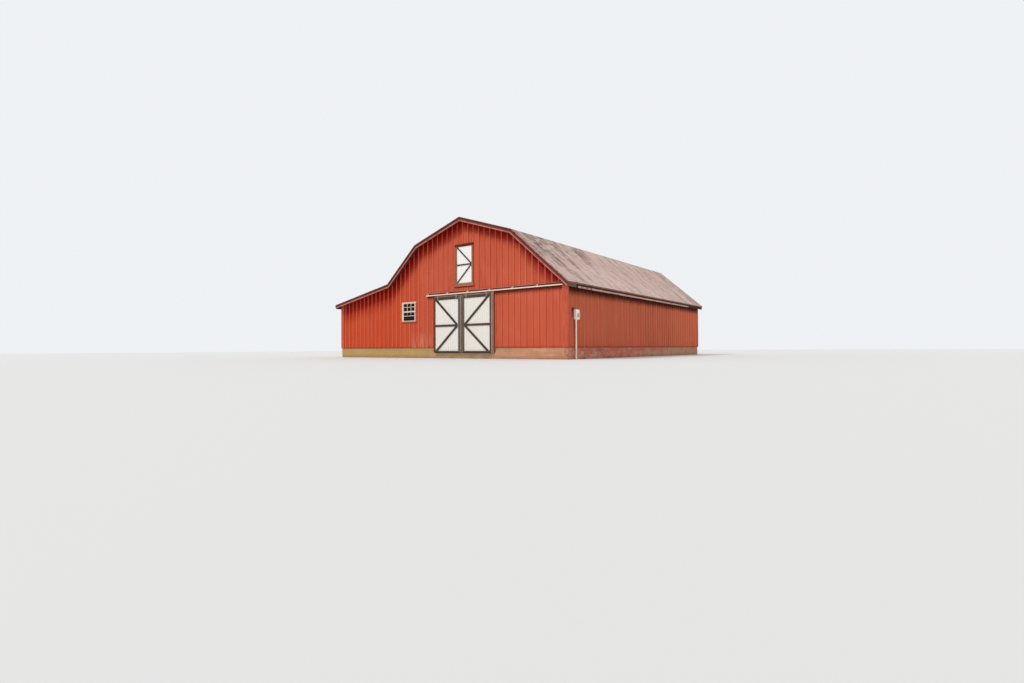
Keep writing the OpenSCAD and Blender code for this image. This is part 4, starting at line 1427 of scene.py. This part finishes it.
def loftDoor():
    low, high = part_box("loft_door")
    step = (high.x - low.x) / loft["boards"]
    rows = []
    for count in range(loft["boards"]):
        span = (low.x + count * step + loft["joint"], low.x + (count + 1) * step - loft["joint"])
        rows.append(slab(span, (low.y, high.y), (low.z + random.uniform(0, loft["unevenFoot"]), high.z)))
    boards = joinery("loftDoorBoards", rows, boardEdge)
    fitOut(boards, "building", "door_white", loftWhite, "loft_door")

    bracesLow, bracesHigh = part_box("loft_door_braces")
    ys = (bracesLow.y, bracesHigh.y)
    half, seam = loft["brace"] / 2, loft["seam"]
    middle = (low.z + high.z) / 2
    xs = (bracesLow.x, bracesHigh.x)
    parts = [timber("rail", [slab(xs, ys, (middle - half, middle + half))], brownLevel)]
    for start, edge, way, finish in (
        (high.z, middle + half, -1, darkFalling),
        (low.z, middle - half, 1, darkRising),
    ):
        heel, tip = (low.x, ys[1], start), (high.x, ys[1], middle)
        place = along(heel, tip, loft["brace"], ys[1] - ys[0], (0, -1, 0), loft["bracePast"])
        cuts = [
            ((xs[0], 0, 0), (-1, 0, 0)),
            ((xs[1], 0, 0), (1, 0, 0)),
            ((0, 0, start), (0, 0, -way)),
            ((0, 0, edge + way * seam), (0, 0, way)),
        ]
        parts.append(timber("brace", [place], finish, cuts=cuts))
    fitOut(joined("loftDoorBraces", parts), "building", "trim_brown", None, "loft_door_braces")

    outLow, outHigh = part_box("loft_door_frame")
    ys = (outLow.y, outHigh.y)
    left, right = low.x, high.x
    step = loft["innerTrim"]
    boards = (
        ("outerLeft", (outLow.x, left - step - seam), (outLow.z, high.z), loftOuter),
        ("innerLeft", (left - step, left), (low.z, high.z), tanUpright),
        ("innerRight", (right, right + step), (low.z, high.z), roseUpright),
        ("outerRight", (right + step + seam, outHigh.x), (outLow.z, high.z), loftOuter),
        # the head's dark red is a painted shadow over the loft door
        ("head", (outLow.x, outHigh.x), (high.z + seam, outHigh.z), shadowRedLevel),
    )
    parts = [timber(name, [slab(xs, ys, zs)], finish) for name, xs, zs, finish in boards]
    sillFace = (outLow.y - loft["sillPast"], outHigh.y)
    sill = slab((left - step, right + step), sillFace, (outLow.z, low.z - seam))
    parts.append(timber("sill", [sill], greyLevel, boardEdge))
    fitOut(joined("loftDoorTrim", parts), "building", "trim_brown", None, "loft_door_frame")


loftDoor()
ledgeFillers()
print("barn: loft door")


# Window

window = {
    "side": 0.070,
    "head": 0.050,
    "stile": 0.045,
    "rail": 0.030,
    "meetingRail": 0.070,
    "meetingHeight": 2.300,
    "bars": (2.530, 2.090),
    "bar": 0.028,
    "wornBar": 0.010,
    "barBack": 0.006,
    "sashIn": (0.005, 0.029),
    "sillPast": 0.016,
    "sillWide": 0.010,
    "seam": 0.001,
}


def windowFrame():
    low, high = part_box("window_frame")
    left, right = low.x + window["side"], high.x - window["side"]
    foot, head = low.z + window["head"], high.z - window["head"]
    wide, seam = window["sillWide"], window["seam"]
    face, sill = (low.y, high.y), (low.y - window["sillPast"], high.y)
    casings = (
        ("left", (low.x, left), face, (foot, head), creamWood),
        ("right", (right, high.x), face, (foot, head), wornCream),
        ("head", (low.x, high.x), face, (head + seam, high.z), creamWood),
        ("sill", (low.x - wide, high.x + wide), sill, (low.z, foot - seam), wornCream),
    )
    parts = [timber(name, [slab(xs, ys, zs)], finish, boardEdge) for name, xs, ys, zs, finish in casings]
    sash = [low.y + depth for depth in window["sashIn"]]
    inner = (left + window["stile"], right - window["stile"])
    half, rail, level = window["meetingRail"] / 2, window["rail"], window["meetingHeight"]
    members = (
        ((left, inner[0]), (foot, head)),
        ((inner[1], right), (foot, head)),
        (inner, (head - rail, head)),
        (inner, (foot, foot + rail)),
        (inner, (level - half, level + half)),
    )
    parts.append(timber("sash", [slab(xs, sash, zs) for xs, zs in members], creamWood))
    thin = (sash[0] + window["barBack"], sash[1])
    third = (inner[1] - inner[0]) / 3
    bar = window["bar"]
    bars = [slab(inner, thin, (z - bar / 2, z + bar / 2)) for z in window["bars"]]
    rows = ((level + half, head - rail, bar), (window["bars"][1], level - half, window["wornBar"]))
    for column in (1, 2):
        x = inner[0] + column * third
        for z0, z1, width in rows:
            bars.append(slab((x - width / 2, x + width / 2), thin, (z0, z1)))
    parts.append(timber("bars", bars, creamWood, stripEdge))
    fitOut(joined("windowCasingAndSash", parts), "building", "door_white", None, "window_frame")


windowFrame()
print("barn: window")


# Rainwater goods

gutter = {
    "sheet": 0.003,
    "hangerPitch": 0.80,
    "hangerWidth": 0.025,
    "hangerTop": (0.006, 0.003),
    "endSheet": 0.003,
    # where the end caps slant up to the front, and the way that they face there
    "slantIn": 0.060,
    "slant": (-0.074, 0, -0.0505),
    # profile from the back's top edge round to the front lip, from the lower back corner
    "profile": (
        (0.0015, 0.088), (0.0015, 0.0015), (0.058, 0.0015), (0.068, 0.010), (0.074, 0.026), (0.080, 0.040),
        (0.092, 0.052), (0.102, 0.062), (0.1075, 0.074), (0.1085, 0.088), (0.100, 0.0882), (0.099, 0.082),
    ),
}

spout = {
    "y": -7.995,
    "width": 0.090,
    "depth": 0.070,
    "corner": 0.008,
    "sheet": 0.002,
    "route": ((-9.25, 0.04), (-9.25, 2.284), (-9.33, 2.684), (-9.33, 2.749)),
    "straps": (0.538, 1.784),
    "strapHeight": 0.038,
    "strapSheet": 0.003,
    "strapWing": 0.028,
    "sleeveWider": 0.005,
    "kneeSleeve": (0.070, 0.004),
    "jointSleeve": (1.180, 1.235),
    "outletSleeve": (0.010, 0.002),
}


def foldedStrip(name, profile, reach, sheet):
    # thin sheet bent along a profile in the XZ plane, from -reach to reach along Y
    strip = fresh(bpy.ops.mesh.primitive_plane_add, size=1)
    start, end = (Vector((x, 0, z)) for x, z in profile[:2])
    run, long = end - start, Vector((0, 2 * reach, 0))
    axes = Matrix((run, long, run.cross(long).normalized())).transposed().to_4x4()
    placed(strip, Matrix.Translation((start + end) / 2) @ axes)
    pickPoints(strip, lambda co: abs(co.x - end.x) + abs(co.z - end.z) < 0.0001)
    drawnAlong(profile[1:])
    bpy.ops.object.mode_set(mode="OBJECT")
    return named(modified(strip, "SOLIDIFY", thickness=sheet, offset=0), name)


def ductRun(name, route, width, depth, y, corner, sheet):
    # square pipe of thin sheet along a route in the XZ plane
    pipe = fresh(bpy.ops.mesh.primitive_plane_add, size=1)
    foot = Matrix.Translation((route[0][0], y, route[0][1]))
    placed(pipe, foot @ Matrix.Diagonal((width, depth, 1, 1)))
    bpy.ops.object.mode_set(mode="EDIT")
    bpy.ops.mesh.select_all(action="SELECT")
    bpy.ops.mesh.bevel(offset=corner, segments=2, affect="VERTICES")
    drawnAlong(route)
    bpy.ops.mesh.select_mode(type="FACE")
    bpy.ops.mesh.select_all(action="DESELECT")
    bpy.ops.object.mode_set(mode="OBJECT")
    ends = (route[0][1], route[-1][1])
    for polygon in pipe.data.polygons:
        heights = [pipe.data.vertices[index].co.z for index in polygon.vertices]
        polygon.select = any(max(abs(height - end) for height in heights) < 0.0001 for end in ends)
    bpy.ops.object.mode_set(mode="EDIT")
    bpy.ops.mesh.delete(type="ONLY_FACE")
    bpy.ops.mesh.select_mode(type="VERT")
    bpy.ops.mesh.select_all(action="SELECT")
    bpy.ops.mesh.normals_make_consistent(inside=False)
    bpy.ops.object.mode_set(mode="OBJECT")
    return named(modified(pipe, "SOLIDIFY", thickness=sheet, offset=-1), name)


def rainwater():
    low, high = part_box("gutter")
    profile = [(high.x - x, low.z + z) for x, z in gutter["profile"]]
    trough = foldedStrip("gutterTrough", profile, high.y - 0.002, gutter["sheet"])
    xs, zs = (low.x + 0.002, high.x - 0.001), (low.z, high.z - 0.003)
    caps = [slab(xs, (end * high.y, end * (high.y - gutter["endSheet"])), zs) for end in (1, -1)]
    caps = joinery("gutterEnds", caps, 0, [((high.x - gutter["slantIn"], 0, low.z), gutter["slant"])])
    count = int(2 * high.y / gutter["hangerPitch"])
    pitch = 2 * high.y / count
    half = gutter["hangerWidth"] / 2
    xs, zs = (low.x + 0.004, high.x), [high.z - down for down in gutter["hangerTop"]]
    middles = [low.y + (step + 0.5) * pitch for step in range(count)]
    hangers = joinery("gutterHangers", [slab(xs, (y - half, y + half), zs) for y in middles], sheetEdge)
    fitOut(joined("gutterRun", [trough, caps, hangers]), "building", "cream_metal", creamPaint, "gutter")

    route, width, depth = spout["route"], spout["width"], spout["depth"]
    pipe = ductRun("spoutPipe", route, width, depth, spout["y"], spout["corner"], spout["sheet"])
    wider = spout["sleeveWider"]
    size = (width + wider, depth + wider, spout["y"], spout["corner"] + 0.001, spout["sheet"])
    footX, knee = route[1]
    bend, outlet = route[2:]
    sleeves = (
        (footX, [knee - down for down in spout["kneeSleeve"]]),
        (footX, spout["jointSleeve"]),
        (bend[0], (bend[1] + spout["outletSleeve"][0], outlet[1] - spout["outletSleeve"][1])),
    )
    sleeves = [ductRun("spoutSleeve", ((x, z0), (x, z1)), *size) for x, (z0, z1) in sleeves]
    wall, out = -barn["leanX"], footX - width / 2
    near, far = (spout["y"] + way * depth / 2 for way in (-1, 1))
    sheet, wing = spout["strapSheet"], spout["strapWing"]
    straps = []
    for z in spout["straps"]:
        zs = (z, z + spout["strapHeight"])
        straps.append(slab((out - sheet, out), (near - sheet, far + sheet), zs))
        straps.append(slab((out, wall), (near - sheet, near), zs))
        straps.append(slab((out, wall), (far, far + sheet), zs))
        straps.append(slab((wall - sheet, wall), (near - wing, far + wing), zs))
    run = joined("downspoutRun", [pipe, *sleeves, joinery("spoutStraps", straps, sheetEdge)])
    fitOut(run, "building", "cream_metal", creamPaint, "downspout")


rainwater()
print("barn: rainwater goods")


# Electric meter

meter = {
    "lidDepth": 0.016,
    "lidIn": 0.010,
    "glassHeight": 0.165,
    "glassRadius": 0.085,
    "glassIn": 0.006,
    "glassSheet": 0.003,
    "ring": 0.009,
    "ringOut": 0.006,
    "pipe": 0.033,
    "coupling": 0.0365,
    "couplings": ((0.52, 0.60), (1.545, 1.61)),
    "straps": (0.86, 1.30),
    "strapHeight": 0.024,
    "strapSheet": 0.003,
    "strapHalf": 0.055,
    "strapIn": 0.034,
    "haspOut": (-0.002, 0.006),
    "haspHalf": 0.018,
    "haspHeights": (0.010, 0.040),
    # start and end before the lid, and radius
    "works": (0, 0.040, 0.062),
    "plate": (0.040, 0.046, 0.058),
    "dial": (0.046, 0.049, 0.0095),
    "dials": 4,
    "dialPitch": 0.024,
    "dialUp": 0.014,
}

overX = Matrix.Rotation(math.radians(90), 4, "Y")


def rounds(name, places, sides=40):
    # discs and tubes made from one round, each place giving its size and direction
    return copies(fresh(bpy.ops.mesh.primitive_cylinder_add, vertices=sides, radius=1, depth=1), name, places)


def roundAlongX(x0, x1, y, z, radius):
    return Matrix.Translation(((x0 + x1) / 2, y, z)) @ overX @ Matrix.Diagonal((radius, radius, x1 - x0, 1))


def roundUpright(x, y, z0, z1, radius):
    return Matrix.Translation((x, y, (z0 + z1) / 2)) @ Matrix.Diagonal((radius, radius, z1 - z0, 1))


def electricMeter():
    low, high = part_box("meter_box")
    lid = high.x - meter["lidDepth"]
    inset = meter["lidIn"]
    housing = joinery("housing", [slab((low.x, lid), (low.y, high.y), (low.z, high.z))], 0.010, (), 3)
    cover = slab((lid - 0.002, high.x), (low.y + inset, high.y - inset), (low.z + inset, high.z - inset))
    cover = joinery("cover", [cover], 0.007, (), 3)
    y, z = (low.y + high.y) / 2, low.z + meter["glassHeight"]
    radii = {"major_radius": meter["glassRadius"] - 0.001, "minor_radius": meter["ring"]}
    ring = fresh(bpy.ops.mesh.primitive_torus_add, major_segments=40, minor_segments=10, **radii)
    placed(ring, Matrix.Translation((high.x + meter["ringOut"], y, z)) @ overX)
    modified(ring, "DISPLACE", strength=0.0004, mid_level=0.5)
    xs = [high.x + out for out in meter["haspOut"]]
    zs = [low.z + height for height in meter["haspHeights"]]
    lock = joinery("hasp", [slab(xs, (y - meter["haspHalf"], y + meter["haspHalf"]), zs)])
    box = joined("meterHousing", [housing, cover, ring, lock])
    fitOut(box, "building", "meter_grey", meterGrey, "meter_box")

    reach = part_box("meter_glass")[1].x - high.x
    dome = fresh(bpy.ops.mesh.primitive_uv_sphere_add, segments=32, ring_count=20, radius=1)
    named(dome, "meterDome")
    radius = meter["glassRadius"] - meter["glassIn"]
    size = Matrix.Diagonal((reach - 0.002, radius, radius, 1))
    placed(dome, Matrix.Translation((high.x, y, z)) @ size)
    bpy.ops.object.mode_set(mode="EDIT")
    bpy.ops.mesh.select_all(action="SELECT")
    bpy.ops.mesh.bisect(plane_co=(high.x + 0.001, 0, 0), plane_no=(-1, 0, 0), clear_outer=True)
    bpy.ops.object.mode_set(mode="OBJECT")
    modified(dome, "SOLIDIFY", thickness=meter["glassSheet"], offset=-1)
    bpy.ops.object.shade_smooth_by_angle(angle=math.radians(30))
    fitOut(dome, "building", "meter_glass", clearPane, "meter_glass")

    def disc(x0, x1, radius, across=0.0, up=0.0):
        return roundAlongX(high.x + x0, high.x + x1, y + across, z + up, radius)

    base = painted(eased(rounds("works", [disc(*meter["works"])]), boardEdge), steelPaint)
    plate = painted(eased(rounds("plate", [disc(*meter["plate"])]), stripEdge), meterGrey)
    row = [(count - (meter["dials"] - 1) / 2) * meter["dialPitch"] for count in range(meter["dials"])]
    dials = rounds("dials", [disc(*meter["dial"], across, meter["dialUp"]) for across in row], 20)
    painted(eased(dials, 0.001), steelPaint)
    works = joined("meterWorks", [base, plate, dials])
    fitOut(works, "building", "meter_grey", None)

    pipeLow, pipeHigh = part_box("meter_riser")
    x, y = (pipeLow.x + pipeHigh.x) / 2, (pipeLow.y + pipeHigh.y) / 2
    runs = [roundUpright(x, y, 0, pipeHigh.z, meter["pipe"])]
    runs += [roundUpright(x, y, z0, z1, meter["coupling"]) for z0, z1 in meter["couplings"]]
    pipe = eased(rounds("riserRuns", runs), 0.003, 2)
    wall, half = barn["mainX"], meter["strapHalf"]
    inner, outer = meter["strapIn"], meter["coupling"]
    heights = [(z, z + meter["strapHeight"]) for z in meter["straps"]]
    straps = []
    for zs in heights:
        straps.append(slab((wall, wall + meter["strapSheet"]), (y - half, y + half), zs))
        straps.append(slab((wall, x), (y - outer, y - inner), zs))
        straps.append(slab((wall, x), (y + inner, y + outer), zs))
    straps = timber("riserStraps", straps, redTrim, sheetEdge)
    clamps = eased(rounds("riserClamps", [roundUpright(x, y, *zs, outer) for zs in heights]), 0.001)
    run = joined("riserPipe", [painted(pipe, riserPaint), straps, painted(clamps, riserPaint)])
    focus(run)
    bpy.ops.object.shade_smooth_by_angle(angle=math.radians(30))
    fitOut(run, "building", "riser_pipe", None, "meter_riser")


electricMeter()
print("barn: electric meter")


# Loft floor

plank = {
    "width": 0.190,
    "gap": 0.003,
}

deckLow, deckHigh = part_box("loft_floor")
count = round((deckHigh.x - deckLow.x) / plank["width"])
pitch = (deckHigh.x - deckLow.x) / count
first = slab((deckLow.x, deckLow.x + pitch - plank["gap"]), (deckLow.y, deckHigh.y), (deckLow.z, deckHigh.z))
planks = repeated(joinery("loftPlanks", [first]), count, (pitch, 0, 0))
fitOut(planks, "building", "lumber", lumberLengthwise, "loft_floor")
print("barn: loft floor")


# Studio floor

ground = named(fresh(bpy.ops.mesh.primitive_plane_add, size=studio["floorSize"]), "studioFloor")
groundFinish = Finish("studioFloor", 0.9)
ground.data.materials.append(groundFinish.done((*studio["floorColour"], 1)))
